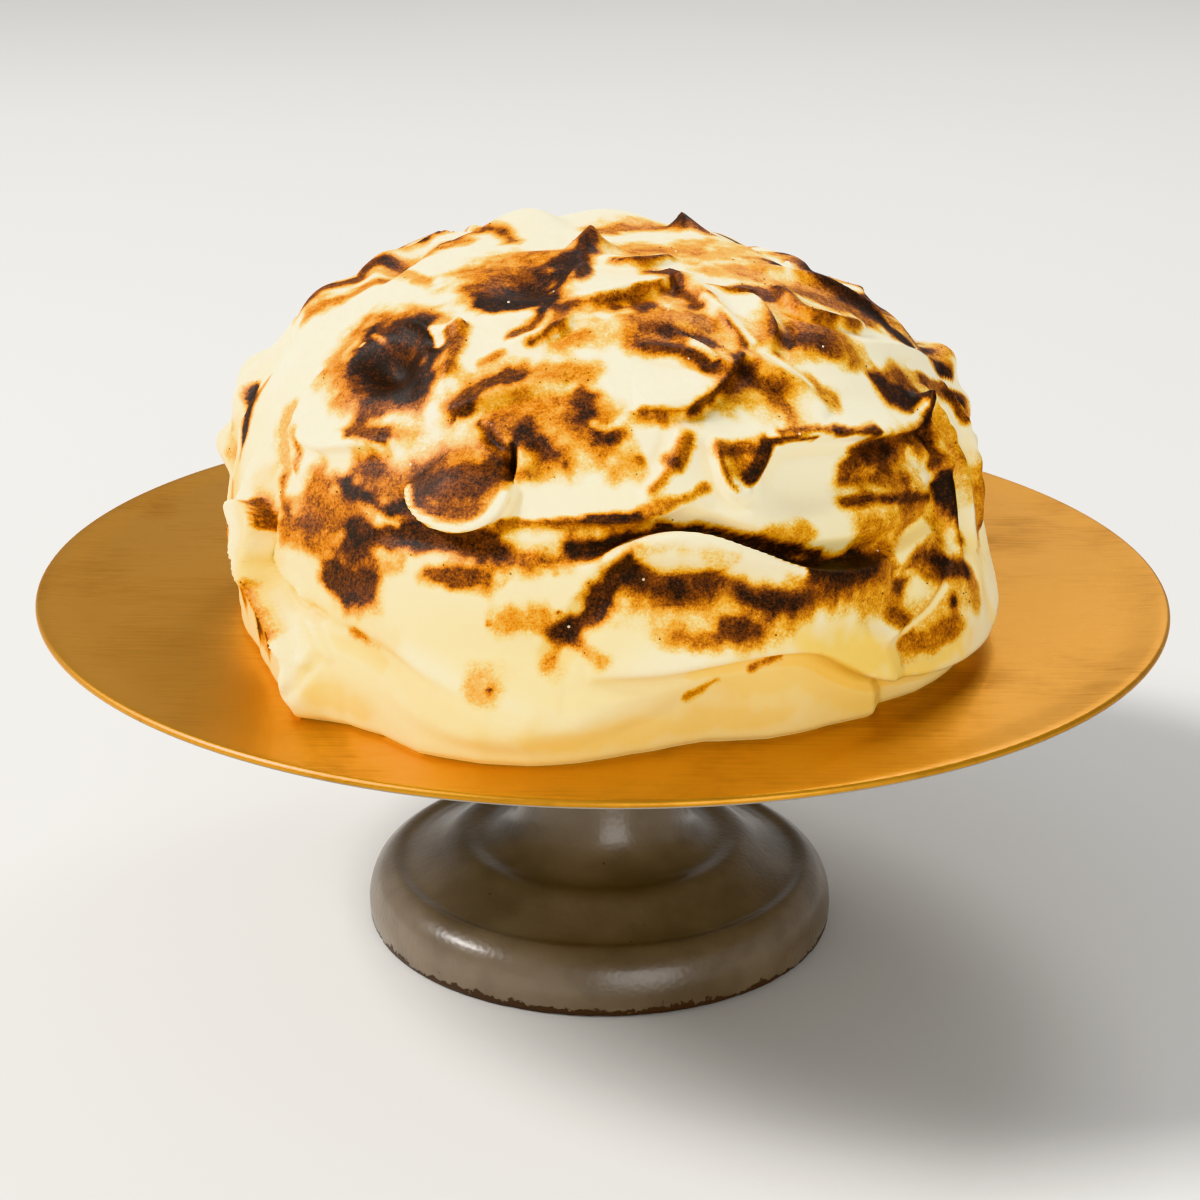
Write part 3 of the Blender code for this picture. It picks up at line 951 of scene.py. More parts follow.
# Each row: azimuth and lift in turn along the path, height, reach above, reach below, and
# for some the lean and the crest
FOLDS = from_rows(Fold, (
    # crown
    ((-14, 82.6, 0, 83, 14, 82, 30, 82, 48, 83), 2.4, 10, 3, 1.2, LIP),
    ((-60, 80, -30, 84, -20, 87.5, 20, 88), 2.2, 8, 8),
    ((-16, 72, -13, 77, -12, 82), 2.8, 5, 5, 0, SHARP),
    ((-13, 71, -4, 71.4, 5, 73, 12, 74, 20, 75, 28, 78.5), 3.2, 13, 3, 1.4, LIP),
    ((-34, 62.6, -26, 63.2, -20, 65, -17, 68), 1.2, 7, 2.6, 0.6, LIP),
    ((-22, 58.2, -17, 59.4, -12.5, 61.8, -9, 66), 2.6, 5, 2, 0.9, LIP),
    # right shoulder
    ((30, 79, 31.3, 70, 31, 63, 31, 56), 2.8, 8, 3.5, 0.6, LIP),
    ((45, 69, 41, 63, 39, 59, 34, 54.5), 2.8, 3, 8, -0.6, LIP),
    ((36, 72, 42, 70.6, 49, 68.5), 1.2, 5, 1.6, 0.5, LIP),
    ((5, 58.4, 13, 57, 19, 55.2, 24, 52), 2.4, 7, 2.4, 1, LIP),
    ((15, 61, 18, 58.2, 21, 54.6), 1.8, 2.4, 2.4, 0, SHARP),
    ((58, 68, 54.5, 64, 53, 61, 55, 58.6, 60, 56, 68, 53.5), 3, 10, 2.2, 1.4, LIP),
    ((64, 74, 76, 62, 81, 50), 2.8, 8, 5, 0, SHARP),
    ((58, 51, 68, 47, 78, 41, 88, 36), 2.4, 5, 5, 0, SHARP),
    ((74, 72, 82, 60, 85, 46), -2.2, 5, 5),
    ((5, 46.4, 12, 46, 16, 46.8, 19.4, 49, 23.4, 51.8, 28, 55), 3.4, 13, 2.2, 2, LIP),
    ((27, 56, 32, 51, 36, 47, 39, 41), 2.6, 8, 6, 0, SHARP),
    ((13, 42, 12, 38.5, 9.6, 34.2, 5, 30.6), 2.2, 9, 2.6, 0.5, LIP),
    # left shoulder
    ((-50, 58, -43, 58, -38, 57.2, -35.2, 59.4), 2.6, 10, 2.4, 1, LIP),
    ((-34.6, 59.6, -32, 54.5, -30.4, 49.5, -29, 44), 2.4, 7, 3.5, -0.6, LIP),
    ((-29, 42.3, -25, 43.8, -20, 46.6, -13, 49.4, -7, 49.8), 2.8, 8, 2.6, 1, LIP),
    ((-57, 32.5, -50, 31.7, -44, 33.4, -38, 35.2, -31, 36.6), 2.8, 8, 2.8, 0.8, LIP),
    ((-74, 52, -73, 40, -71, 28), 2.8, 6, 6, 0, SHARP),
    ((-59, 44, -57.5, 34, -54, 28, -50, 25.5), 2.4, 9, 2.6, 0.4, LIP),
    ((-92, 44, -90, 35, -84, 24), 2.6, 3, 6, 0, LIP),
    # middle
    ((-30, 30, -27.6, 27, -24, 25.2, -20, 25, -16.4, 26.8, -14.7, 30, -15, 34.5), 4.2, 11, 1.9, 2.2,
     LIP),
    ((-21, 41.3, -17.7, 38.6, -15.4, 37.1), -1.8, 1.7, 1.7),
    ((-14.8, 38.4, -14.3, 35.4, -14.5, 32), -3.2, 1.9, 1.9),
    ((-13.4, 38.6, -12.5, 35, -13, 31.6), 1.6, 5, 2),
    ((-12, 26.6, -4, 27.5, 3, 27.5, 9, 29, 16, 31.4), 2.4, 14, 1.9, 1.3, LIP),
    ((22, 31.4, 24, 34, 26.4, 37, 29, 38.2, 34, 38.2, 41, 37, 50, 35.4, 57, 34.4, 61, 35, 64, 37),
     3.6, 10, 2.4, 2, LIP),
    ((18, 40, 17.8, 35, 18.4, 31.8, 20, 30, 22, 31), 2.8, 6, 1.8, 1, LIP),
    ((28, 37.6, 25.5, 35, 23.8, 32), -1.6, 2.5, 2.5),
    ((63.6, 36.6, 61, 30, 59.4, 22, 59.6, 12), 4.4, 4, 3.5, 0, SHARP),
    ((62.8, 30, 62.2, 21, 62.6, 12), -4, 2.8, 2.8),
    ((69, 39, 66.8, 28, 66.2, 20, 66.4, 11), 4.4, 3.4, 3.6, 0, SHARP),
    ((74, 34, 72, 22, 70.4, 11), -3.4, 3, 3),
    ((81, 36, 78, 24, 76, 11), 3.6, 3.6, 3.6, 0, SHARP),
    ((49, 32.5, 56, 30.2, 61, 24, 61, 18), 1.8, 5, 4, 0, SHARP),
    ((36, 29, 45, 28.8, 55, 30), -1, 3, 3),
    ((36, 24.4, 46, 24.8, 58, 25.4), 1.4, 4, 2.2, 0.6, LIP),
    # the long wave across the front, with the deep groove above its crest
    ((-34, 21.5, -22, 21.5, -10, 21.4), -1.5, 5, 3.6),
    ((-8, 21.6, -1, 22.6, 7, 25.4, 13, 25.5, 20, 22.6, 30, 19, 44, 18.2, 58, 19.5), -4.2, 5, 3.6),
    ((-3, 19, 2, 21.8, 8, 23.7, 14, 23, 20, 20.4, 27, 17.2, 35, 15.4, 44, 15), 4.6, 2.6, 14, -1.8,
     LIP),
    ((-8, 7.5, -5, 11.5, -1, 16, 3, 19.2, 12, 18.4, 20, 17.2, 28, 14.7), -2.2, 4, 7),
    # the lower lobe, whose edge stands clear of the plate on the right
    ((-2, 7, 8, 7.8, 16, 8.8, 23, 9.3, 29, 8.6, 34, 6.2, 39, 4.2, 48, 2.7, 62, 2.4, 78, 3, 92, 4,
     108, 3), 6.5, 17, 2.8, 1.8, LIP),
    ((34, 8.8, 41, 7.5, 46, 8.4, 50, 10, 54, 12.2, 59, 14.5), 2.4, 5, 4, 0, SHARP),
    # drapes down to the tail on the left
    ((-66, 26, -59, 16, -52, 9.5, -46, 4.8, -42.8, 1.8, -41.6, 0), 5.5, 8, 12, 0.4),
    ((-63, 17, -59.4, 17.8, -56.4, 17.2, -54.6, 15, -54, 12.6, -52, 10.6), 4.6, 2.4, 7, -2.2, LIP),
    ((-60, 14, -56, 11.4, -52, 9.6, -49.6, 8, -47.4, 6.4, -44.4, 5, -40.6, 3.8), 3.6, 5, 2.2, 0.9,
     LIP),
    ((-40.6, 5, -41.4, 3, -42.6, 1), -1.8, 2, 2),
    ((-55, 8.6, -51, 6.4, -48.4, 4.2, -46.6, 2), -2.2, 3, 3),
    ((-55, 21, -53.6, 17, -53, 13.4, -50.6, 11, -48.4, 9.8, -45.6, 8.8, -40, 8.8), -3.4, 2, 2.4),
    ((-48, 12, -44.4, 8.4, -41, 6, -38.4, 4.4), 2.4, 2.8, 2.6, 0, SHARP),
    ((-49.4, 10, -46, 7, -43.2, 4.8, -41.6, 2.6), -2.4, 1.9, 1.9),
    ((-46.6, 6, -44.2, 4, -43.2, 2.2, -43.6, 0.4), 2.2, 4, 2.4, 0.3, LIP),
    ((-44, 9.4, -35, 9.8, -29, 8.6, -22, 6.6, -13, 5, -5, 4.4), 2.4, 10, 4.4, 1, LIP),
    ((-66, 19, -61, 16.6, -57, 12), 1.8, 4, 2, 0.6, LIP),
    ((-84, 32, -83, 20, -76, 8), -2, 5, 5),
    # the lap at the front of the foot
    ((-30, 4.6, -20, 2.6, -8, 2.2, 4, 3.4, 12, 6), 2, 8, 6),
))

MOUNDS = (
    Mound(-130, 80, 14, 14, 5.0),
    Mound(133, 80, 8, 8, 4.5, (2, 0), SHARP),
    Mound(180, 80, 20, 12, 3.0),
    Mound(108, 66, 7, 6, 3.4, (1, 1), SHARP),
    Mound(101, 58, 6, 5, 1.0, (0, 1), SHARP),
    Mound(102, 43, 22, 9, -4.6),
    Mound(98, 52, 20, 9, -2.0),
    Mound(94, 63, 14, 10, -2.5),
    Mound(94, 34.6, 16, 9, 5.2),
    Mound(92, 27, 16, 8, 3.6),
    Mound(-92, 26, 26, 17, 4.4),
    Mound(-98, 30, 16, 10, 3.6),
    Mound(-90, 18, 14, 7, 4.6),
    Mound(-86, 57, 26, 16, -1.2),
    Mound(-95, 48, 22, 12, 3.6),
    Mound(-100, 65, 24, 9, -5.0),
    Mound(113, 64, 40, 24, -6.4),
    Mound(-112, 76, 12, 9, 1.4),
    Mound(-29, 74, 13, 10, -3.2),
    Mound(-45, 49, 13, 10, -6.5),
    Mound(-21, 31, 12, 9, 3.0),
    Mound(32, 30, 18, 11, -3.8),
    Mound(-5, 32, 18, 8, -1.6),
    Mound(-52, 16, 18, 14, 2.0),
    Mound(60, 8, 26, 16, 4.5),
    Mound(63.2, 36.2, 5, 5, 4.4, (0, 2.4), SHARP),
    Mound(-22, 87, 8, 8, 4.6, (0, 1), SHARP),
    Mound(-34.4, 59, 5, 5, 2.6, (0.5, 1.5), SHARP),
    Mound(12, 64, 20, 8, 1.6),
    Mound(50, 54, 16, 12, 2.0),
    Mound(10, 48, 16, 7, 1.2),
)

# Each row: azimuth and lift in turn along the path, heat, core, fade above, fade below
SCORCHES = from_rows(Scorch, (
    # crown
    ((-34, 67.4, -28, 68.4, -22, 69.6), 1, 4.6, 3.4, 1.8),
    ((-33, 71.4, -27, 73.4, -20, 75), 0.96, 4.8, 3, 2.4),
    ((-42, 70, -38, 75, -32, 79), 0.58, 3.6, 3.4, 3),
    ((-27, 76, -23, 79, -22, 83), 0.96, 3, 2.6, 2.6),
    ((-19, 77, -17.5, 81, -20, 86), 0.86, 2.2, 1.4, 1.2),
    ((-52, 72.5, -46, 76, -38, 79), 0.62, 3.6, 4.6, 4),
    ((-64, 80, -50, 82, -38, 84), 0.52, 3, 4, 4),
    ((-112, 77, -108, 80, -95, 82), 0.85, 1, 1.6, 2),
    ((-175, 86, 165, 84.5, 148, 82, 136, 80), 0.72, 2.6, 3, 3),
    ((133, 80), 0.92, 2.2, 2.2, 2.2),
    ((-10, 88, 60, 87), 0.55, 3, 4, 4),
    ((125, 78, 112, 74, 100, 71), 0.74, 2.4, 3, 3),
    ((60, 80, 75, 79, 90, 77), 0.44, 2.5, 4, 4),
    ((2, 82.4, 12, 81.8, 25, 81.8, 40, 82.4), 0.88, 0.6, 0.5, 1.1),
    ((-10.6, 79.5, -11.4, 75.4), 0.86, 0.8, 1, 1),
    # band under the crown
    ((-11, 69.4, -3, 70, 5, 71.4, 11, 72.6, 18, 73.6), 0.74, 1.2, 0.5, 3.6),
    ((3, 69, 8, 69.2, 14, 70), 0.8, 1.6, 1.6, 1.8),
    ((25, 78.5, 27, 75, 26.5, 71.5, 26.5, 68.5), 0.9, 2.8, 1.6, 2.2),
    ((10, 64.5, 18, 65, 24, 64), 0.48, 3.4, 2.6, 2.6),
    ((-13, 69, -12, 66, -12.5, 63), 0.66, 2, 1.6, 1.6),
    ((-17, 70, -17.6, 66.4), 1, 1.2, 0.7, 0.7),
    ((-17, 65, -18, 62.4, -21, 60.6), 0.84, 1.3, 1, 1),
    ((-12.5, 62, -14, 60, -16.5, 58.5), 0.84, 0.8, 0.8, 0.8),
    ((-11.5, 58.6, -6.5, 60.6), 0.5, 1, 1.8, 1.8),
    # left shoulder
    ((-51, 49.5, -45, 47.5, -37, 48), 1, 6.4, 3, 2.2),
    ((-42, 57.5, -38.5, 54.5, -35.5, 50.5), 1, 2.6, 1.2, 2.6),
    ((-43.5, 43.4, -36, 44.6), 1, 3, 1.8, 1.4),
    ((-47, 52.4, -41, 52), 0.8, 3.2, 1.6, 1.6),
    ((-56, 54, -50, 55.6, -44, 57), 0.84, 2, 3.4, 1.2),
    ((-60, 52, -59, 47, -53, 43.5, -47, 41), 0.6, 2.6, 3, 3.4),
    ((-62, 56, -52, 59, -43, 60.5), 0.5, 1.6, 3, 2.5),
    ((-44, 40.4, -39, 41.2, -33.5, 43), 0.66, 1.6, 2, 1.6),
    ((-34, 58.5, -31.8, 54, -30, 50), 0.74, 1.8, 1.4, 2.4),
    ((-90, 63, -80, 65.5, -70, 67, -62, 67.5), 0.52, 0.9, 0.7, 1.8),
    ((-43, 35.6, -39, 36.3, -36, 36.4), 0.88, 1.9, 1.8, 0.5),
    ((-35, 37, -32, 37.6), 0.42, 1.2, 2, 1.6),
    ((-24.2, 44.4, -23.2, 46.8, -20.6, 49.6, -16.5, 51.2), 0.88, 2.6, 2.4, 0.7),
    ((-15, 52, -9, 52.4, -3, 52.8), 0.56, 1.8, 2.2, 1.8),
    ((-25, 53, -21.6, 56), 0.55, 0.5, 0.7, 0.7),
    # left skyline
    ((-112, 74, -108, 68, -104, 62), 0.8, 3, 3.5, 3),
    ((-104, 60, -98, 53, -93, 46), 0.88, 1.8, 2.6, 1.6),
    ((-100, 48, -95, 42), 0.7, 1.6, 2, 2),
    # left side
    ((-62, 33, -58, 30, -56.5, 26.5), 0.44, 3.4, 2.6, 2.6),
    ((-55, 32.5, -53.4, 29.5, -52, 26.6), 0.8, 0.5, 0.7, 1),
    ((-83.5, 30, -80.5, 27.6, -77, 24.8), 1, 2.6, 1.2, 1.2),
    ((-78, 37, -80, 34, -80.6, 31), 0.62, 0.7, 0.8, 0.8),
    ((-76.6, 24, -75, 21), 0.75, 0.5, 0.7, 0.7),
    ((-86, 22, -84, 19), 0.42, 1.2, 1.6, 1.6),
    ((-56, 23.8, -54, 21.4, -51, 20.4), 0.7, 1, 1, 1),
    ((-59, 19.4, -56.6, 19, -54.6, 17.2), 0.86, 1.4, 1.4, 0.5),
    ((-47, 23, -43, 23, -38, 22), 0.7, 5, 3, 3.2),
    ((-40, 31, -36, 31.2), 0.74, 2.2, 1.8, 1.8),
    ((-36, 29, -30, 29, -26, 31), 0.58, 3, 2.2, 2.2),
    ((-29, 32, -26.5, 33), 0.72, 1.4, 1.6, 1.6),
    ((-43, 27.4, -39.4, 26.3, -35.4, 25.6, -32.4, 25, -29.4, 25.8, -26.4, 27.2), 0.96, 1.5, 1.4,
     1.2),
    ((-50, 18, -45, 17.6, -39.6, 17.4), 0.46, 2.2, 2.2, 1.6),
    ((-37, 21, -34, 20.4, -31, 21.4), 0.92, 2.6, 1.6, 2),
    ((-29, 22.4, -27, 21), 0.66, 2, 1.4, 1.4),
    ((-26, 23, -20, 22.6, -14.5, 21.8), 0.92, 3.4, 1.4, 2),
    ((-40.4, 14.6, -37.4, 13.6, -34.4, 13.4), 0.93, 3.6, 2, 1.8),
    ((-38, 17, -36, 18.6), 0.85, 2.2, 1.4, 1.4),
    ((-36, 11, -32, 12), 0.45, 1.2, 1.8, 1.6),
    ((-34, 16.8, -29, 17.4), 0.44, 1, 1.2, 1.4),
    ((-24.6, 17.2, -20.6, 17.3, -16, 17.6), 0.84, 1.6, 1.2, 1.4),
    ((-76, 16, -71, 11), 0.6, 1.6, 1.6, 1.6),
    ((-70, 7.6, -67, 5.2, -64, 2.6), 0.82, 5, 1.8, 2.2),
    ((-66.5, 4.4, -64, 2.6), 0.96, 2.2, 1.2, 1.2),
    ((-60, 1.6, -57, 1.2), 0.52, 1.2, 1.4, 1.4),
    ((-80, 10, -76, 6.6, -72, 3), 0.74, 3.4, 1.8, 1.8),
    ((-64, 9, -60, 5.6, -56.4, 2.6), 0.86, 2.6, 1.2, 1.6),
    ((-52.4, 10.2, -50.4, 8.5, -46.6, 5.8), 0.66, 0.6, 1, 1.2),
    ((-52, 5, -49, 3, -47, 1.4), 0.5, 1, 0.5, 1.4),
    ((-66, 15, -64.4, 12.6), 0.72, 2.2, 1.6, 1.8),
    ((-35, 7.8), 0.7, 1.3, 1.5, 1.5),
    ((-33.6, 7.4, -31.6, 7), 0.4, 0.8, 1.4, 1.4),
    # middle
    ((-24, 30, -20.5, 31, -18, 33), 0.86, 4.4, 2.4, 1.6),
    ((-24, 36, -19.5, 37.4, -16.4, 36), 0.48, 1.8, 2, 2),
    ((-16.5, 30, -16, 34), 0.45, 1, 1.2, 1.2),
    ((-27, 27.8, -23, 27, -18.5, 27.6), 0.74, 1.4, 1.4, 0.8),
    ((-21, 41.7, -19.2, 40, -15.8, 37.8), 0.8, 0.5, 0.5, 0.5),
    ((-14.5, 38.2, -14.2, 36, -14.6, 33), 1, 1.1, 0.5, 0.5),
    ((-12.6, 33.4, -10.8, 34.6), 0.5, 0.8, 1.2, 1.2),
    ((-17, 41.6, -13.4, 41), 0.62, 2.4, 1.8, 1.6),
    ((-13.4, 41, -10.4, 39, -7.4, 37.4), 0.86, 1.9, 1.6, 1.4),
    ((-6.2, 35.8), 0.7, 0.4, 0.5, 0.5),
    ((-8, 47, -3, 44, 0, 40), 0.54, 4, 2.6, 2.6),
    ((-5, 48.6, -3.6, 46.6, -3.2, 44.4), 0.84, 1.9, 1.4, 1.4),
    ((-1, 41, 0.6, 40.2), 0.86, 1, 1, 1),
    ((1.2, 41.4, 3.2, 41), 0.62, 0.8, 0.9, 0.9),
    ((-15, 46.6, -9, 47.4), 0.36, 1.8, 2, 1.6),
    ((2.6, 34.8, 4.8, 34.6), 0.42, 1.6, 1.8, 1.8),
    ((5.4, 36.6), 0.55, 0.4, 0.7, 0.7),
    ((9.3, 36.8), 0.62, 0.7, 1, 1),
    ((13.3, 39.8, 12.2, 37.6, 10.6, 35.6), 0.74, 1.4, 1, 1.2),
    ((10.6, 35.6, 8.6, 33.2, 6.8, 31.7), 0.66, 0.6, 0.8, 0.6),
    ((-14.6, 25.9, -10, 26.6, -5, 27.6, 0, 28, 4.4, 28.2), 0.72, 0.7, 0.3, 1.6),
    ((-2, 28, 3, 28.1), 0.82, 0.5, 0.4, 0.9),
    ((3.9, 28.2), 0.92, 0.5, 0.6, 0.6),
    ((-9, 26, 0, 26.6, 6, 27), 0.46, 1, 0.8, 1.4),
    ((5, 28.8, 9, 29.8, 12.6, 30.8, 14.8, 32), 0.64, 0.9, 0.6, 1),
    # middle right and right shoulder
    ((6, 45.2, 11, 45, 15.6, 45.4), 0.66, 0.5, 0.25, 2.2),
    ((15, 45.2, 18.4, 47.2, 21.6, 49.8, 24.6, 52), 0.86, 1.4, 0.6, 1.4),
    ((22, 48.6, 27, 50, 31, 47.6), 0.72, 2.6, 2, 2.6),
    ((26, 53.4, 27.4, 50), 0.84, 1.3, 1.2, 1.2),
    ((31.6, 46, 31.4, 41.6), 0.56, 1.2, 1.2, 1.2),
    ((7, 43.8, 10, 43.2), 0.66, 1.2, 1.2, 1.4),
    ((39.8, 46.6, 41.4, 43.8), 0.56, 2.4, 1.8, 1.8),
    ((8.6, 57.6, 13, 57.4, 17, 55.8, 19.4, 54), 0.92, 1.8, 1.4, 1.4),
    ((14, 61, 18.6, 60, 22, 57.8), 0.88, 1.5, 1.6, 0.9),
    ((5, 59, 8, 60.5, 13, 62), 0.5, 1.6, 1.8, 1.8),
    ((31, 68.5, 31, 64, 30.6, 60, 30.4, 57), 0.8, 0.8, 0.4, 1),
    ((36, 72.5, 41, 70.6), 0.76, 0.4, 0.5, 0.7),
    ((46, 69.6, 52, 68), 0.86, 2.6, 1.6, 2),
    ((42.5, 64, 40, 60, 37.6, 57), 0.54, 0.8, 0.8, 0.8),
    ((57, 66, 54, 62, 54.4, 59.6, 58, 57, 64, 54.6), 0.74, 0.8, 0.5, 1.8),
    ((41, 56.2, 44, 54.8, 48, 53), 0.78, 2, 2, 2),
    ((40, 57.4, 47, 56, 53, 51.8), 0.58, 4.4, 2.6, 3),
    ((80, 71, 77, 67, 76, 62, 76, 57, 76.5, 53), 0.95, 2.8, 1.6, 2.4),
    ((76.5, 53, 78, 48, 80, 43.4, 83, 39, 87, 34), 0.96, 2.2, 1.2, 1.6),
    ((88, 44, 94, 42, 99, 41), 0.8, 1.6, 1.6, 2),
    ((84, 41, 90, 39.6), 0.9, 1.3, 1.2, 1.2),
    ((87, 37.4, 93, 36.4), 0.55, 2.2, 1.8, 1.8),
    ((83, 55, 90, 53, 98, 50), 0.84, 2.6, 2, 3),
    ((100, 60, 106, 56), 0.7, 1.6, 2, 2.4),
    ((62, 66, 66, 60, 71, 55), 0.58, 2.6, 2.2, 2.2),
    ((76, 50, 79, 46.5), 0.93, 2.4, 2, 2),
    ((100, 72, 104, 70), 0.8, 1.4, 1.4, 1.4),
    ((55.6, 41.6, 57.8, 40.2, 60.4, 38.8), 0.92, 3.4, 1.6, 1.8),
    ((57, 38.6, 61, 37.6, 64, 38), 0.84, 2.6, 1.6, 1),
    ((58, 44, 61, 43, 64, 42), 0.58, 1.8, 1.4, 1.8),
    ((72, 38.4, 80, 34, 88, 29.4), 0.76, 1.8, 1, 1.8),
    ((60, 43, 66, 41.6, 71, 40), 0.46, 2.4, 2, 2),
    # the shelf on the right, its curl and the patches under it
    ((38.4, 38.1, 43, 37.2, 46.4, 36.3), 0.9, 1, 0.6, 0.5),
    ((28, 39.4, 31, 39.4, 35, 39.1), 0.78, 0.5, 0.5, 0.4),
    ((35, 39, 38.6, 38.2), 0.62, 0.4, 0.4, 0.5),
    ((34, 37.6, 29, 38.2, 25.6, 38), 0.93, 0.5, 0.4, 0.4),
    ((25, 38, 24, 35.8, 23.2, 34, 22, 32.4), 0.95, 1.5, 0.5, 0.9),
    ((18, 38, 20.6, 37.4, 22.4, 37.6), 0.74, 1.4, 0.9, 1.2),
    ((20, 36.6, 21, 34.4), 0.6, 1.6, 1.3, 1.3),
    ((17.9, 36.4, 18.4, 33.6, 18.8, 31.8, 19.4, 31), 0.72, 0.4, 0.4, 0.4),
    ((39.5, 31, 44, 31.4, 48, 32.2), 0.78, 2.2, 1.4, 1.6),
    ((42, 33, 48, 33, 54, 33.2, 60, 34), 0.74, 1.3, 0.9, 1.6),
    ((46, 30, 52, 30.4, 57, 32), 0.6, 2, 1.6, 2),
    ((59, 32.6, 61.4, 34, 63, 36), 0.95, 1.6, 1, 1),
    ((42, 28.4, 50, 27.4), 0.55, 2, 1.6, 1.6),
    ((37.6, 26, 42, 25.8, 46, 24.8, 50, 23.8, 55.6, 22.2), 0.88, 1.2, 0.7, 0.8),
    ((41, 20.6, 47, 20, 54, 20.4), 0.46, 2.8, 2.2, 2.6),
    ((58.6, 23.4, 59.6, 20, 60.4, 17, 60.8, 14.6), 1, 2.8, 1, 1),
    ((62, 22, 62.4, 16.6, 62.6, 13.6), 1, 2, 1, 1.3),
    ((70, 23.6, 69, 20, 68.4, 15), 1, 1.5, 0.8, 0.8),
    ((79.4, 33, 78.4, 28), 0.85, 0.7, 0.7, 0.7),
    ((86, 29), 0.95, 1.3, 1, 1),
    ((63, 35.6, 60, 31, 58.4, 27), 0.84, 1, 0.8, 0.8),
    ((70.8, 20, 69.4, 12), 0.84, 0.8, 0.8, 0.8),
    ((78, 20, 76, 12), 0.52, 1.4, 1.4, 1.4),
    ((66, 38, 62.4, 32, 61.2, 27), 0.74, 0.7, 0.7, 0.7),
    ((53.4, 12.6, 56.4, 11.8, 59, 10.8), 0.93, 1.9, 1.4, 1.4),
    ((60.5, 9.6, 61.4, 6.6), 0.5, 1.4, 1.4, 1.4),
    # the long wave
    ((-5, 22.8, 0, 23.4, 4, 24.4, 9.6, 25.2, 13.5, 24.8, 19, 22.8, 24, 20.6), 1, 1.3, 1, 0.5),
    ((8, 26.4, 13, 26, 18, 24.6, 23, 22.6, 28, 20.8, 33, 19.2), 0.97, 0.8, 0.6, 1.2),
    ((27, 17.4, 31, 16.2, 35, 15.6, 39, 15.4), 0.86, 1.4, 1.2, 1.4),
    ((11, 17, 16, 16, 21, 14.6), 0.5, 1.6, 1.4, 1.8),
    ((8, 11.2, 16, 10.8, 24, 11.4), 0.36, 1.2, 1.4, 1.4),
    ((-4, 22, 0.5, 22.4), 0.97, 1.8, 1, 1),
    ((24, 19.6, 30, 17.8, 35, 17.2, 39, 17), 1, 2.6, 1.4, 1.4),
    ((38, 17, 43.6, 16.6), 0.86, 0.9, 0.9, 0.9),
    ((-14, 21.2, -9, 21, -5, 21.2), 0.72, 2.2, 1.6, 1.4),
    ((25, 22.6, 29.5, 22.4), 0.52, 2.4, 2.2, 1.8),
    ((29, 15.2, 34, 14.6, 40, 14.2), 0.5, 2.4, 2, 1.8),
    ((3.2, 20.8, 1.4, 18.4, -1.4, 15, -4.4, 11.4), 0.93, 2.6, 1.6, 1.6),
    ((3.4, 19.2, 7, 18, 10, 17.6), 0.76, 2, 1.4, 2.2),
    ((10, 18.2, 14, 18, 19, 16.4, 24, 14.8, 27, 14), 0.74, 1, 0.8, 1.4),
    ((18.6, 15.6, 22, 14.4, 25, 13.6), 0.86, 1.3, 1, 1.2),
    ((4, 16.4, 9, 16, 14, 15.6), 0.52, 1.8, 1.4, 1.8),
    ((16, 12.2, 20, 12), 0.84, 1.6, 1.4, 1.2),
    ((9.6, 11, 14, 11), 0.46, 1, 1, 1.2),
    ((-5, 12, -5.8, 9.8, -6.6, 8), 0.62, 1.8, 1.6, 1.6),
    ((-5.9, 14), 0.95, 0.4, 0.5, 0.5),
    ((-3, 10, 0, 8.6), 0.5, 1.2, 1.4, 1.4),
    ((-13.6, 12, -11, 12.6, -8.6, 13), 0.52, 2.2, 1.8, 1.8),
    ((-15.4, 11.9), 0.8, 0.35, 0.4, 0.4),
    ((-6.5, 19.2), 0.55, 0.4, 0.5, 0.5),
    # lower front and lower right
    ((-15.4, 5.8, -13.8, 5.8), 0.44, 2.4, 2.2, 2.2),
    ((-14, 5.6), 0.92, 0.4, 0.4, 0.4),
    ((11.7, 3.8, 14, 4.5, 15.8, 5.3), 0.6, 0.8, 0.8, 0.9),
    ((20.4, 6.3, 22.6, 6.9, 24.8, 7.2), 0.72, 0.6, 0.6, 0.7),
    ((45, 6.4, 50, 5.2, 56, 5.6), 0.62, 2.2, 1.2, 1.8),
    ((42, 9, 44.6, 8), 0.66, 1.2, 1.4, 0.8),
    ((38, 11.4, 44, 11), 0.48, 2, 1.8, 1.6),
    ((55.4, 8.1), 1, 1.3, 0.8, 0.8),
    # wide light toast that joins the patches
    ((-98, 74, -92, 66, -88, 56, -86, 48), 0.66, 2.2, 2.4, 2),
    ((-47, 52, -44, 46), 0.42, 8, 4, 4),
    ((-20, 46.5, -12, 44, -4, 42), 0.4, 5, 4, 4),
    ((-26, 34, -14, 36, -6, 38), 0.3, 4, 4, 4),
    ((-40, 29, -30, 28), 0.34, 4, 3, 3),
    ((-48, 20, -38, 17), 0.34, 4, 4, 4),
    ((8, 64, 22, 62), 0.36, 5, 4, 4),
    ((-8, 60, 4, 61), 0.24, 3, 4, 4),
    ((22, 47, 32, 46), 0.34, 4, 4, 4),
    ((38, 57, 54, 56), 0.4, 5, 4, 4),
    ((62, 68, 74, 58, 84, 46), 0.52, 5, 4, 4),
    ((50, 76, 66, 73, 80, 70), 0.46, 3, 3, 4),
    ((88, 62, 92, 54, 94, 46), 0.62, 3, 3, 3),
    ((30, 85, 60, 84, 90, 82), 0.5, 3, 3, 3),
    ((44, 31, 58, 32), 0.42, 4, 3, 4),
    ((40, 24, 56, 23, 66, 22), 0.3, 3, 3, 4),
    ((66, 32, 72, 22, 74, 12), 0.5, 4, 4, 4),
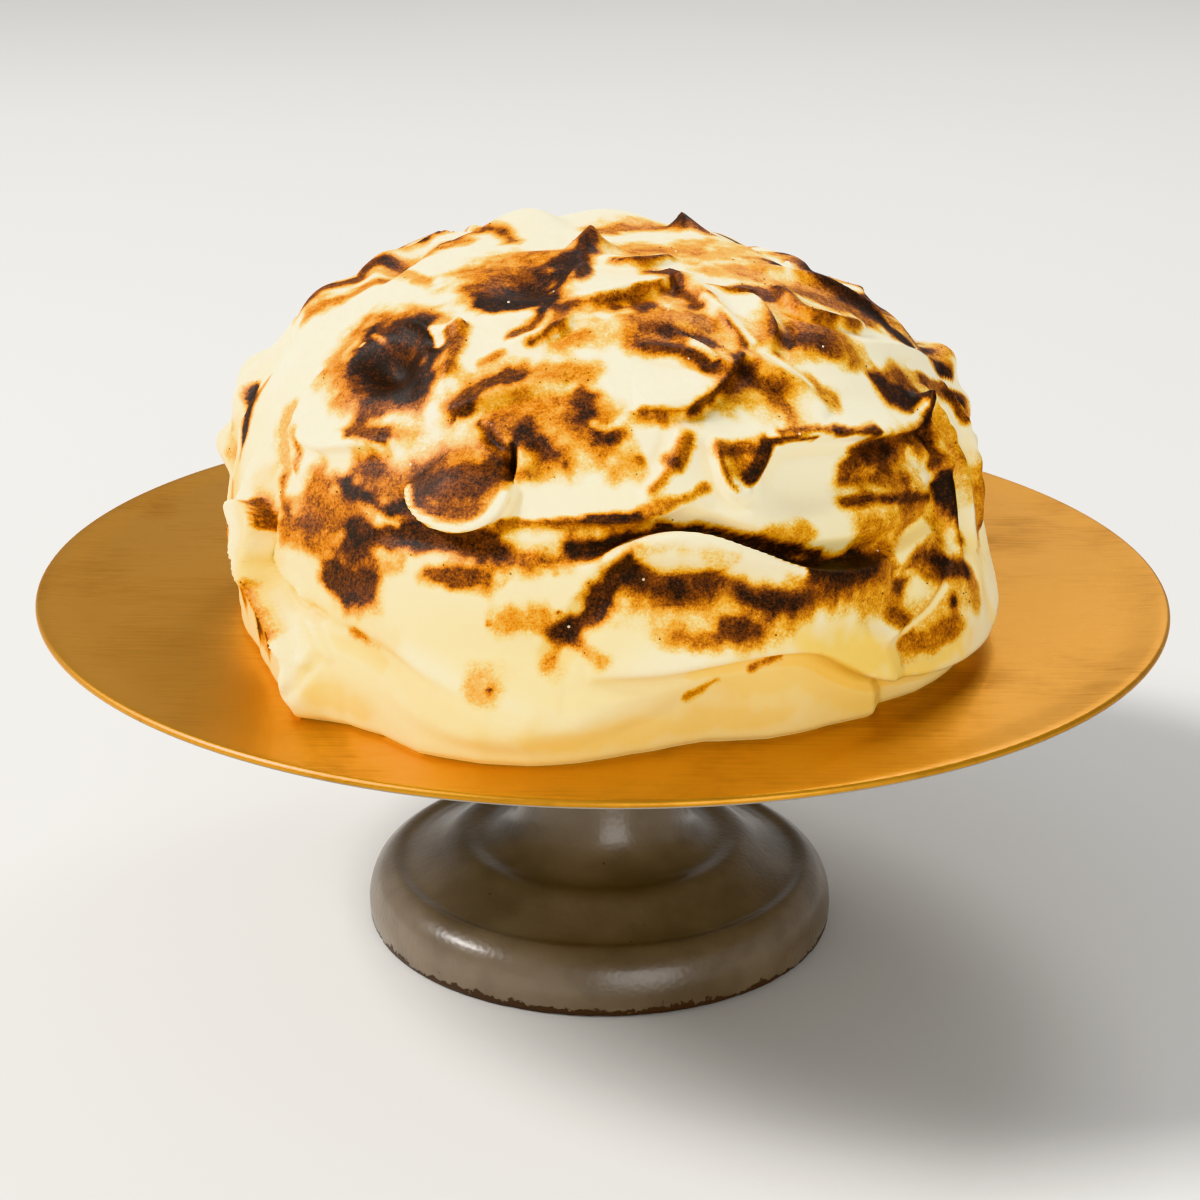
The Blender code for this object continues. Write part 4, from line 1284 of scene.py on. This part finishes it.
    ((84, 34, 86, 22), 0.56, 2, 3, 3),
    ((6, 17, 20, 14), 0.34, 3, 3, 4),
    ((28, 16, 44, 14.4), 0.36, 3, 3, 3.2),
    ((24, 14.6, 28, 13.4, 31, 13), 0.5, 1.6, 1.6, 1.6),
    ((44, 17, 51, 16), 0.5, 2.6, 2, 2.4),
    ((46, 12.6, 50, 14.6), 0.66, 1.4, 1.4, 1.4),
    ((49, 17, 56, 17.4), 0.46, 3.4, 3, 3),
    ((51, 12.6, 55, 14.6, 58, 17), 0.5, 1.6, 1.4, 1.4),
    ((46, 8, 58, 8), 0.38, 3, 3, 3),
    # cream left bare: each heat is negative
    ((-29, 29, -27, 26.8, -23.5, 25.6, -20, 25.4, -16.9, 26.8, -15.1, 30), -0.9, 0.5, 1, 0.9),
    ((0.6, 21.2, 4, 23.3, 9, 24.3, 14, 23, 20, 20.3, 26.5, 17.1), -0.94, 0.7, 0.6, 1.8),
    ((5, 21.4, 12, 20.8, 18, 18.9), -0.8, 0.8, 1.5, 1),
    ((18, 57.4, 19.4, 55.8, 20.6, 54.4), -0.72, 0.5, 1.2, 1),
    ((-38.4, 57.6, -36.6, 55.6), -0.97, 0.9, 0.7, 0.7),
    ((-37, 58.5, -34.6, 59.4), -0.97, 0.9, 0.8, 0.6),
    ((-42.4, 54, -42.8, 52.8), -0.1, 0.3, 0.7, 0.7),
    ((-55, 53.2, -51, 53), -0.4, 0.4, 0.6, 0.6),
    ((-55, 50.6), -0.9, 0.4, 0.4, 0.4),
    ((-34, 23.4, -30.8, 23.3), -0.5, 0.5, 0.5, 0.5),
    ((-2, 43, 0, 42.2, 2, 43, 3.2, 44.6), -0.5, 0.5, 1, 1),
    ((54, 36.4, 58, 35.8, 61.6, 36.2), -0.9, 0.5, 0.8, 0.8),
    ((53.6, 30.4, 54.8, 28), -0.62, 0.8, 1.2, 1.2),
    ((55, 25.6, 57.6, 25), -0.74, 0.8, 1.2, 1),
    ((46.4, 16, 50.4, 17.6, 54, 18.4), -0.82, 1.5, 1.6, 1.8),
    ((45, 13.8, 49, 13.2), -0.5, 0.5, 0.8, 0.8),
    ((29.4, 69, 31.2, 63, 32, 57), -0.8, 0.6, 1.1, 1.1),
    ((33.2, 55, 36, 50.4, 38.6, 46), -0.66, 0.5, 1.2, 1.2),
    ((70, 42.6, 76, 39.8, 81, 36.4, 86, 32.8, 90, 30), -0.9, 0.8, 0.7, 0.7),
    ((42, 6.6, 46, 6.9, 50, 8, 54.4, 10), -0.9, 0.6, 0.6, 0.6),
    # light toast over the bare wave
    ((4, 22, 10, 21.8, 17, 20), 0.24, 1, 1.2, 1.5),
))

# Where the cream is painted yellower: painted reflection of the gilded plate low down and under the
# lobe, and painted shade in the creases of the drapes
REFLECTION_AND_SHADE_STROKES = from_rows(Scorch, (
    ((28, 9, 36, 6.2, 44, 4.8, 56, 4.6), 1, 3.6, 2.2, 3),
    ((18, 6, 28, 4.8, 36, 2.4, 42, 1), 0.62, 5, 3, 3),
    ((64, 12, 68, 7, 70, 3), 0.5, 2.5, 2, 2),
    ((-8, 1.4, 8, 1.2, 26, 1.4), 0.55, 2.4, 2, 1),
    ((24, 10.4, 30, 9.4, 36, 8.6), 0.5, 1.4, 1.6, 1.6),
    ((-53, 12, -50, 8, -47.6, 5), 0.75, 1.8, 1.4, 1.4),
    ((-39, 1.6, -33, 1.2), 0.85, 2.6, 2, 1),
    ((-45, 9.4, -36, 9.8, -28, 8.6), 0.4, 1, 1.2, 1.2),
    ((-31, 7, -24, 4, -15, 2.2), 0.36, 2.4, 2, 2),
    ((-60, 23, -56, 17, -54, 13), 0.6, 2, 2, 2),
    ((-76, 20, -70, 14, -62, 9), 0.8, 2.6, 2, 2.4),
))

# How far the foot of the meringue spreads or draws in, in mm, at azimuths in degrees
BASE_SPREAD = (
    (-180, 3), (-168, -3), (-155, 2), (-140, 6), (-130, -2), (-110, -3), (-90, -3), (-66, -5),
    (-58, -3), (-52, 0), (-47, 2.4), (-44, 5), (-42, 7), (-39, 4.6), (-36, 3), (-30, 3), (-23, 7),
    (-15, 8), (-9, 7), (-3, 3.5), (4, -2), (10, -5), (15, -6.5), (24, -3), (34, -3), (41, -1),
    (45, -5), (53, -2), (70, -1), (90, -3), (112, -4), (128, 3), (146, 5), (160, -4), (180, 3),
)

# Spatula strokes where the back meets the sides
SIDE_STROKES = (
    Stroke(((99, 29), (108, 34), (119, 35), (129, 31)), 2.2, 11, 0.80, 2.4),
    Stroke(((104, 52), (112, 50), (121, 44)), 1.4, 9, 0.88, 2.8),
    Stroke(((92, 14), (100, 17), (112, 14)), 2.6, 10, 0.62, 1.8),
    Stroke(((236, 20), (248, 26), (262, 22)), 3.0, 11, 0.72, 2.4),
    Stroke(((238, 44), (250, 47), (260, 41)), 2.6, 10, 0.90, 3.2),
    Stroke(((228, 66), (243, 63), (258, 55)), 2.8, 10, 0.96, 3.0),
    Stroke(((244, 12), (254, 14), (266, 9)), 2.2, 9, 0.50, 1.4),
)


@dataclass
class Dessert:
    """The meringue-covered dessert as one closed mesh, denser towards the front."""

    plate_top: float
    top_cells: int = 150
    side_rings: int = 124
    outline_samples: int = 2881
    front_crowding: float = 0.38
    spread_lift: float = 9.0
    sink: float = 0.0001
    rounding: float = 0.0016
    ripples: tuple[tuple[float, float, float], ...] = ((0.024, 0.7, 3.1), (0.009, 0.35, 7.7))
    dome: Dome = field(init=False)

    def __post_init__(self) -> None:
        """Stand the dome on the plate."""
        self.dome = Dome(floor=self.plate_top)

    def _ring_lifts(self) -> np.ndarray:
        """Space rings evenly along the dome, from the plate to the crown.

        Returns:
            Their lifts in radians.
        """
        fine = np.linspace(0, math.pi / 2, self.outline_samples)
        outline = self.dome.points(np.zeros_like(fine), fine)
        steps = np.linalg.norm(np.diff(outline, axis=0), axis=1)
        along = np.concatenate([[0], np.cumsum(steps)])
        rings = self.side_rings + self.top_cells // 2
        return np.interp(np.linspace(0, along[-1], rings + 1), along, fine)

    def _turn(self, x: int, y: int) -> float:
        """The azimuth of a point of the top square, crowded towards the front.

        Args:
            x: The point's column, counted from the middle to the right.
            y: Its row, counted from the middle to the back.

        Returns:
            The azimuth in radians.
        """
        if x == 0 and y == 0:
            return 0.0
        if abs(x) >= abs(y):
            angle = math.copysign(math.pi / 2, x) * (1 + y / abs(x) / 2)
        else:
            angle = math.pi / 4 * x / abs(y)
            angle = angle if y < 0 else math.pi - angle
        angle = (angle + math.pi) % (2 * math.pi) - math.pi
        return angle - self.front_crowding * math.sin(angle)

    def _grid(self) -> tuple[np.ndarray, np.ndarray, list[list[int]], list[int]]:
        """Grid points and faces, four sides and a top, which leave no pole at the crown.

        Returns:
            Azimuths, lifts, faces and the points of the lower rim in order.
        """
        lifts = self._ring_lifts()
        cells, half = self.top_cells, self.top_cells // 2
        azimuths, elevations, faces = [], [], []
        square = {}
        for i in range(cells + 1):
            for j in range(cells + 1):
                square[i, j] = len(azimuths)
                azimuths.append(self._turn(i - half, j - half))
                ring = max(abs(i - half), abs(j - half))
                elevations.append(lifts[len(lifts) - 1 - ring])
        for i in range(cells):
            for j in range(cells):
                faces.append([square[i, j], square[i + 1, j],
                              square[i + 1, j + 1], square[i, j + 1]])
        border = ([(i, 0) for i in range(cells)] + [(cells, j) for j in range(cells)]
                  + [(i, cells) for i in range(cells, 0, -1)]
                  + [(0, j) for j in range(cells, 0, -1)])
        upper = [square[key] for key in border]
        turns = [azimuths[k] for k in upper]
        for level in range(1, self.side_rings + 1):
            lower = list(range(len(azimuths), len(azimuths) + len(border)))
            azimuths += turns
            elevations += [lifts[self.side_rings - level]] * len(border)
            for k, here in enumerate(lower):
                after = (k + 1) % len(border)
                faces.append([upper[after], upper[k], here, lower[after]])
            upper = lower
        return np.array(azimuths), np.array(elevations), faces, upper

    def _spread(self, relief: Relief) -> None:
        """Let the foot spread, round its lower edge and keep it on the plate.

        Args:
            relief: The relief whose points are moved.
        """
        stops, spread = np.array(BASE_SPREAD, float).T
        amount = np.interp(np.degrees(relief.azimuth), stops, spread) * MM
        fade = swell(np.degrees(relief.lift) / self.spread_lift)
        above = (relief.points[:, 2] - self.plate_top) / self.rounding
        tuck = self.rounding * np.clip(1 - above, 0, 1) ** 2
        outward = np.stack([np.sin(relief.azimuth), -np.cos(relief.azimuth),
                            np.zeros_like(relief.azimuth)], axis=-1)
        relief.shift += (amount * fade - tuck)[:, None] * outward

    def _relief(self, azimuth: np.ndarray, lift: np.ndarray) -> Relief:
        """The dome with all its folds, mounds and scorches, and its painted reflection and shade.

        Args:
            azimuth: The grid points' azimuths in radians.
            lift: Their lifts in radians.

        Returns:
            The finished relief.
        """
        relief = Relief(self.dome, azimuth, lift)
        back = Back()
        for fold in FOLDS:
            relief.fold(fold)
        for mound in MOUNDS:
            relief.mound(mound)
        for stroke in SIDE_STROKES:
            relief.fold(stroke.fold())
            relief.scorch(stroke.scorch(), relief.heat)
        for fold in back.folds(FOLDS):
            relief.fold(fold)
        for layer, strokes in ((relief.heat, SCORCHES), (relief.reflection_and_shade, REFLECTION_AND_SHADE_STROKES)):
            for scorch in (*back.repeated(strokes), *strokes):
                relief.scorch(scorch, layer)
        for ripple in self.ripples:
            relief.ripple(*ripple)
        self._spread(relief)
        return relief

    def build(self) -> bpy.types.Object:
        """Make the mesh with its attributes and finish.

        Returns:
            The meringue, as it replaces its node.
        """
        azimuth, lift, faces, rim = self._grid()
        relief = self._relief(azimuth, lift)
        moved = relief.points + relief.shift
        moved[:, 2] = np.maximum(moved[:, 2], self.plate_top)
        moved[rim, 2] = self.plate_top - self.sink
        centre = [0.0, self.dome.centre_y, self.plate_top - self.sink]
        hub = len(moved)
        faces += [[a, b, hub] for a, b in zip(rim, rim[1:] + rim[:1])]
        mesh = bpy.data.meshes.new("meringue_skin")
        mesh.from_pydata(moved.tolist() + [centre], [], faces)
        # the third layer is painted reflection and painted shade; hollow feeds painted shade in
        # creases and painted highlight on crests
        layers = {"toast": relief.heat, "hollow": relief.hollow, "reflection_and_shade": relief.reflection_and_shade}
        for name, value in layers.items():
            stored = mesh.attributes.new(name, "FLOAT", "POINT")
            stored.data.foreach_set("value", np.append(value, 0.0).astype(np.float32))
        mesh.shade_smooth()
        mesh.materials.append(MeringueFinish().material())
        piece = added("meringue_skin", mesh)
        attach(piece, "root")
        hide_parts("meringue")
        return piece


# ---------------------------------------------------------------- the stand


@dataclass
class Turning:
    """A body turned from an outline, with its lower edge chipped."""

    name: str
    outline: np.ndarray
    material: bpy.types.Material
    steps: int
    chip_height: float
    chip_depth: float = 0.0
    chip_cells: float = 240.0
    weld: float = 0.00001

    def _tree(self) -> ShapeGraph:
        """Build the tree that turns a profile of points about Z and chips its low edge.

        Returns:
            The finished tree.
        """
        tree = ShapeGraph(self.name + "_turning", Steps="Int", Rings="Int",
                          Chip_Height="Float", Chip_Depth="Float")
        rings = tree.given("Rings")
        grid = tree.node("GeometryNodeMeshGrid", {}, [1.0, 1.0, rings, tree.given("Steps") + 1])
        position = tree.node("GeometryNodeInputPosition", {})
        index = ((position.axis("X") + 0.5) * (rings - 1)).whole()
        profile = tree.node("GeometryNodeSampleIndex", {"data_type": "FLOAT_VECTOR"},
                            {"Geometry": tree.given("Geometry"), "Value": position,
                             "Index": index})
        spun = tree.node("ShaderNodeVectorRotate", {"rotation_type": "Z_AXIS"},
                         {"Vector": profile, "Angle": position.axis("Y") * (2 * math.pi)})
        placed = tree.node("GeometryNodeSetPosition", {}, {"Geometry": grid, "Position": spun})
        closed = tree.node("GeometryNodeMergeByDistance", {},
                           {"Geometry": placed, "Distance": self.weld})
        rough = tree.node("ShaderNodeTexNoise", {}, {
            "Vector": position, "Scale": self.chip_cells, "Detail": 3.0, "Roughness": 0.6})
        low = (1 - position.axis("Z") / tree.given("Chip_Height")).clamp()
        bite = ((rough - 0.5) * 3.0).clamp()
        flat = tree.node("ShaderNodeVectorMath", {"operation": "MULTIPLY"},
                         [position, (-1.0, -1.0, 0.0)])
        inward = tree.node("ShaderNodeVectorMath", {"operation": "NORMALIZE"}, [flat])
        offset = tree.node("ShaderNodeVectorMath", {"operation": "SCALE"},
                           {0: inward, "Scale": bite * low * tree.given("Chip_Depth")})
        tree.close(tree.node("GeometryNodeSetPosition", {},
                             {"Geometry": closed, "Offset": offset}), self.material)
        return tree

    def build(self) -> bpy.types.Object:
        """Turn the outline, given as (radius, height) from the lower end on the axis up.

        Returns:
            The piece, as a plain mesh.
        """
        points = [(radius, 0.0, height) for radius, height in self.outline]
        line = bpy.data.meshes.new(self.name + "_profile")
        line.from_pydata(points, [(k, k + 1) for k in range(len(points) - 1)], [])
        return self._tree().apply(
            added(self.name + "_profile", line), self.name, Steps=self.steps,
            Rings=len(points), Chip_Height=self.chip_height, Chip_Depth=self.chip_depth)


@dataclass
class Stand:
    """The cake stand: a thin gilded plate on a turned foot."""

    plate_radius: float
    rim_top: float
    foot_top: float
    thickness: float = 0.0022
    lip_rise: float = 0.0006
    lip_width: float = 0.012
    lip_shares: tuple[float, ...] = (0.2, 0.4, 0.6, 0.75)
    under_rings: int = 24
    edge_rings: int = 9
    top_rings: int = 40
    hub_radius: float = 0.030
    hub_rings: int = 8
    sole_radius: float = 0.0632
    sole_edge: tuple[float, float] = (0.0640, 0.0005)
    sole_rings: int = 16
    side_spans: int = 6
    chip_height: float = 0.0030
    chip_depth: float = 0.0007
    steps: int = 288
    foot_outline: tuple[tuple[float, float], ...] = (
        (0.0644, 0.0016), (0.0645, 0.0070), (0.0625, 0.0130), (0.0580, 0.0168),
        (0.0534, 0.0164), (0.0463, 0.0195), (0.0395, 0.0232), (0.0330, 0.0228),
        (0.0285, 0.0246), (0.0240, 0.0285), (0.0212, 0.0360), (0.0190, 0.0520),
        (0.0188, 0.0640), (0.0206, 0.0780), (0.0246, 0.0880), (0.0290, 0.0935),
    )

    @property
    def plate_top(self) -> float:
        """The height of the flat of the plate, to a thousandth of a millimetre."""
        return round(self.rim_top - self.lip_rise, 6)

    def plate(self) -> bpy.types.Object:
        """Make the plate, flat but for a very slight rise at its rim, with a rounded edge.

        Returns:
            The piece.
        """
        under = self.plate_top - self.thickness
        lip = self.plate_radius - self.lip_width
        half = self.thickness / 2
        arc = [(self.plate_radius - half + half * math.cos(a),
                under + self.lip_rise + half + half * math.sin(a))
               for a in np.linspace(-math.pi / 2, math.pi / 2, self.edge_rings)]
        below = [(r, under) for r in np.linspace(0, lip, self.under_rings)]
        above = [(r, self.plate_top) for r in np.linspace(lip, 0, self.top_rings)]
        rise = [(lip + self.lip_width * t, self.lip_rise * t * t * (3 - 2 * t))
                for t in self.lip_shares]
        outline = (below + [(r, under + z) for r, z in rise] + arc
                   + [(r, self.plate_top + z) for r, z in reversed(rise)] + above)
        turning = Turning("plate_gilt", np.array(outline), GiltFinish().material(),
                          self.steps, self.thickness)
        return self._dress(turning.build(), "plate")

    def foot(self) -> bpy.types.Object:
        """Make the foot: a low rounded base, a bead and a slim neck that flares upwards.

        Returns:
            The piece.
        """
        corners = self.foot_outline + ((self.hub_radius, self.foot_top),)
        side = smooth_line(np.array(corners, float), self.side_spans)
        below = [(r, 0.0) for r in np.linspace(0, self.sole_radius, self.sole_rings)]
        above = [(r, self.foot_top) for r in np.linspace(self.hub_radius, 0, self.hub_rings)[1:]]
        turning = Turning("foot_turned", np.array(below + [self.sole_edge] + side.tolist() + above),
                          StonewareFinish().material(), self.steps,
                          self.chip_height, self.chip_depth)
        return self._dress(turning.build(), "foot")

    @staticmethod
    def _dress(piece: bpy.types.Object, node: str) -> bpy.types.Object:
        """Let a piece stand for its node.

        Args:
            piece: The piece.
            node: The node's name.

        Returns:
            The piece.
        """
        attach(piece, "root")
        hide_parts(node)
        return piece


# ---------------------------------------------------------------- sugar beads


@dataclass
class Beads:
    """Drops of sugar scattered on the meringue where its heat lies between two values."""

    name: str
    finish: CloudedFinish
    density: float
    coolest: float
    hottest: float
    smallest: float
    largest: float
    seed: int

    def _tree(self) -> ShapeGraph:
        """Build the tree that scatters drops over a mesh and keeps only the drops.

        Returns:
            The finished tree.
        """
        tree = ShapeGraph(self.name + "_scatter", Density="Float", Coolest="Float",
                          Hottest="Float", Smallest="Float", Largest="Float", Seed="Int")
        heat = tree.node("GeometryNodeInputNamedAttribute", {"data_type": "FLOAT"},
                         {"Name": "toast"})
        fitting = heat.above(tree.given("Coolest")) * heat.below(tree.given("Hottest"))
        points = tree.node("GeometryNodeDistributePointsOnFaces", {},
                           {"Mesh": tree.given("Geometry"),
                            "Density": fitting * tree.given("Density"),
                            "Seed": tree.given("Seed")})
        drop = tree.node("GeometryNodeMeshIcoSphere", {}, {"Radius": 1.0, "Subdivisions": 2})
        size = tree.node("FunctionNodeRandomValue", {"data_type": "FLOAT"},
                         {2: tree.given("Smallest"), 3: tree.given("Largest"),
                          "Seed": tree.given("Seed")}, 1)
        tree.close(tree.node("GeometryNodeInstanceOnPoints", {},
                             {"Points": points, "Instance": drop, "Scale": size}),
                   self.finish.material())
        return tree

    def scatter(self, skin: bpy.types.Object) -> bpy.types.Object:
        """Scatter the drops.

        Args:
            skin: The meringue, of which a copy is used up.

        Returns:
            The drops as one piece.
        """
        holder = added(self.name + "_holder", skin.data.copy())
        piece = self._tree().apply(
            holder, self.name, Density=self.density, Coolest=self.coolest,
            Hottest=self.hottest, Smallest=self.smallest, Largest=self.largest, Seed=self.seed)
        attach(piece, "root")
        return piece


BEADS = (
    Beads("caramel_beads", CARAMEL, density=22000, coolest=0.35, hottest=0.85,
          smallest=0.00010, largest=0.00030, seed=4),
    Beads("pale_beads", PALE_SUGAR, density=1800, coolest=0.60, hottest=9.0,
          smallest=0.00015, largest=0.00040, seed=9),
)


# ---------------------------------------------------------------- studio


@dataclass(frozen=True)
class Lamp:
    """A square soft light."""

    name: str
    place: tuple[float, float, float]
    size: float
    power: float
    colour: Colour = (1.0, 1.0, 1.0)

    def hang(self, aim: Vector) -> None:
        """Hang the lamp.

        Args:
            aim: The point that it faces.
        """
        light = bpy.data.lights.new(self.name, "AREA")
        light.size = self.size
        light.energy = self.power
        light.color = self.colour
        facing = (aim - Vector(self.place)).to_track_quat("-Z", "Y")
        added(self.name, light).matrix_world = (
            Matrix.Translation(self.place) @ facing.to_matrix().to_4x4())


WARM = (1.0, 0.985, 0.96)
LAMPS = (
    Lamp("key", (-1.7, -0.35, 1.6), 0.7, 74.0, WARM),
    Lamp("fill", (0.8, -2.2, 0.6), 1.4, 22.0, WARM),
    Lamp("rim", (0.8, 1.8, 2.3), 1.0, 28.0),
)


@dataclass
class Studio:
    """A pale floor, soft lights and the camera."""

    aim: tuple[float, float, float] = (0.0, 0.0, 0.0921)
    distance: float = 0.700
    elevation: float = 20.01
    roll: float = 0.66
    lens: float = 77.55
    shift: float = -0.0025
    nearest: float = 0.01
    floor_size: float = 16.0
    glow: float = 0.48
    tones: str = "Khronos PBR Neutral"

    def floor(self) -> None:
        """Lay the floor."""
        shape = bmesh.new()
        bmesh.ops.create_grid(shape, x_segments=8, y_segments=8, size=self.floor_size / 2)
        mesh = bpy.data.meshes.new("floor")
        shape.to_mesh(mesh)
        shape.free()
        mesh.materials.append(PAPER.material())
        floor = added("floor", mesh)

    def lights(self) -> None:
        """Hang the lights, give the room its even glow and choose how tones are shown."""
        for lamp in LAMPS:
            lamp.hang(Vector(self.aim))
        world = bpy.data.worlds.new("room")
        world.use_nodes = True
        background = world.node_tree.nodes["Background"]
        background.inputs["Color"].default_value = (1, 1, 1, 1)
        background.inputs["Strength"].default_value = self.glow
        bpy.context.scene.world = world
        bpy.context.scene.view_settings.view_transform = self.tones

    def camera(self) -> None:
        """Stand the camera in front, looking down on the stand."""
        tilt = math.radians(self.elevation)
        back_off = self.distance * Vector((0, -math.cos(tilt), math.sin(tilt)))
        lens = bpy.data.cameras.new("camera")
        lens.lens = self.lens
        lens.sensor_width = 36.0
        lens.shift_x = self.shift
        lens.clip_start = self.nearest
        camera = added("camera", lens)
        camera.matrix_world = (Matrix.Translation(Vector(self.aim) + back_off)
                               @ Matrix.Rotation(math.pi / 2 - tilt, 4, "X")
                               @ Matrix.Rotation(math.radians(self.roll), 4, "Z"))
        bpy.context.scene.camera = camera


def main() -> None:
    """Build the studio and every piece in order."""
    logging.basicConfig(level=logging.INFO, format="%(name)s: %(message)s")
    studio = Studio()
    studio.camera()
    studio.floor()
    studio.lights()
    _, foot_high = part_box("foot")
    _, plate_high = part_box("plate")
    stand = Stand(plate_high.x, plate_high.z, foot_high.z)
    pieces = [stand.plate(), stand.foot()]
    skin = Dessert(stand.plate_top).build()
    pieces += [skin] + [beads.scatter(skin) for beads in BEADS]
    for piece in pieces:
        triangles = sum(len(face.vertices) - 2 for face in piece.data.polygons)
        LOG.info("%s: %d triangles", piece.name, triangles)


if __name__ == "__main__":
    main()
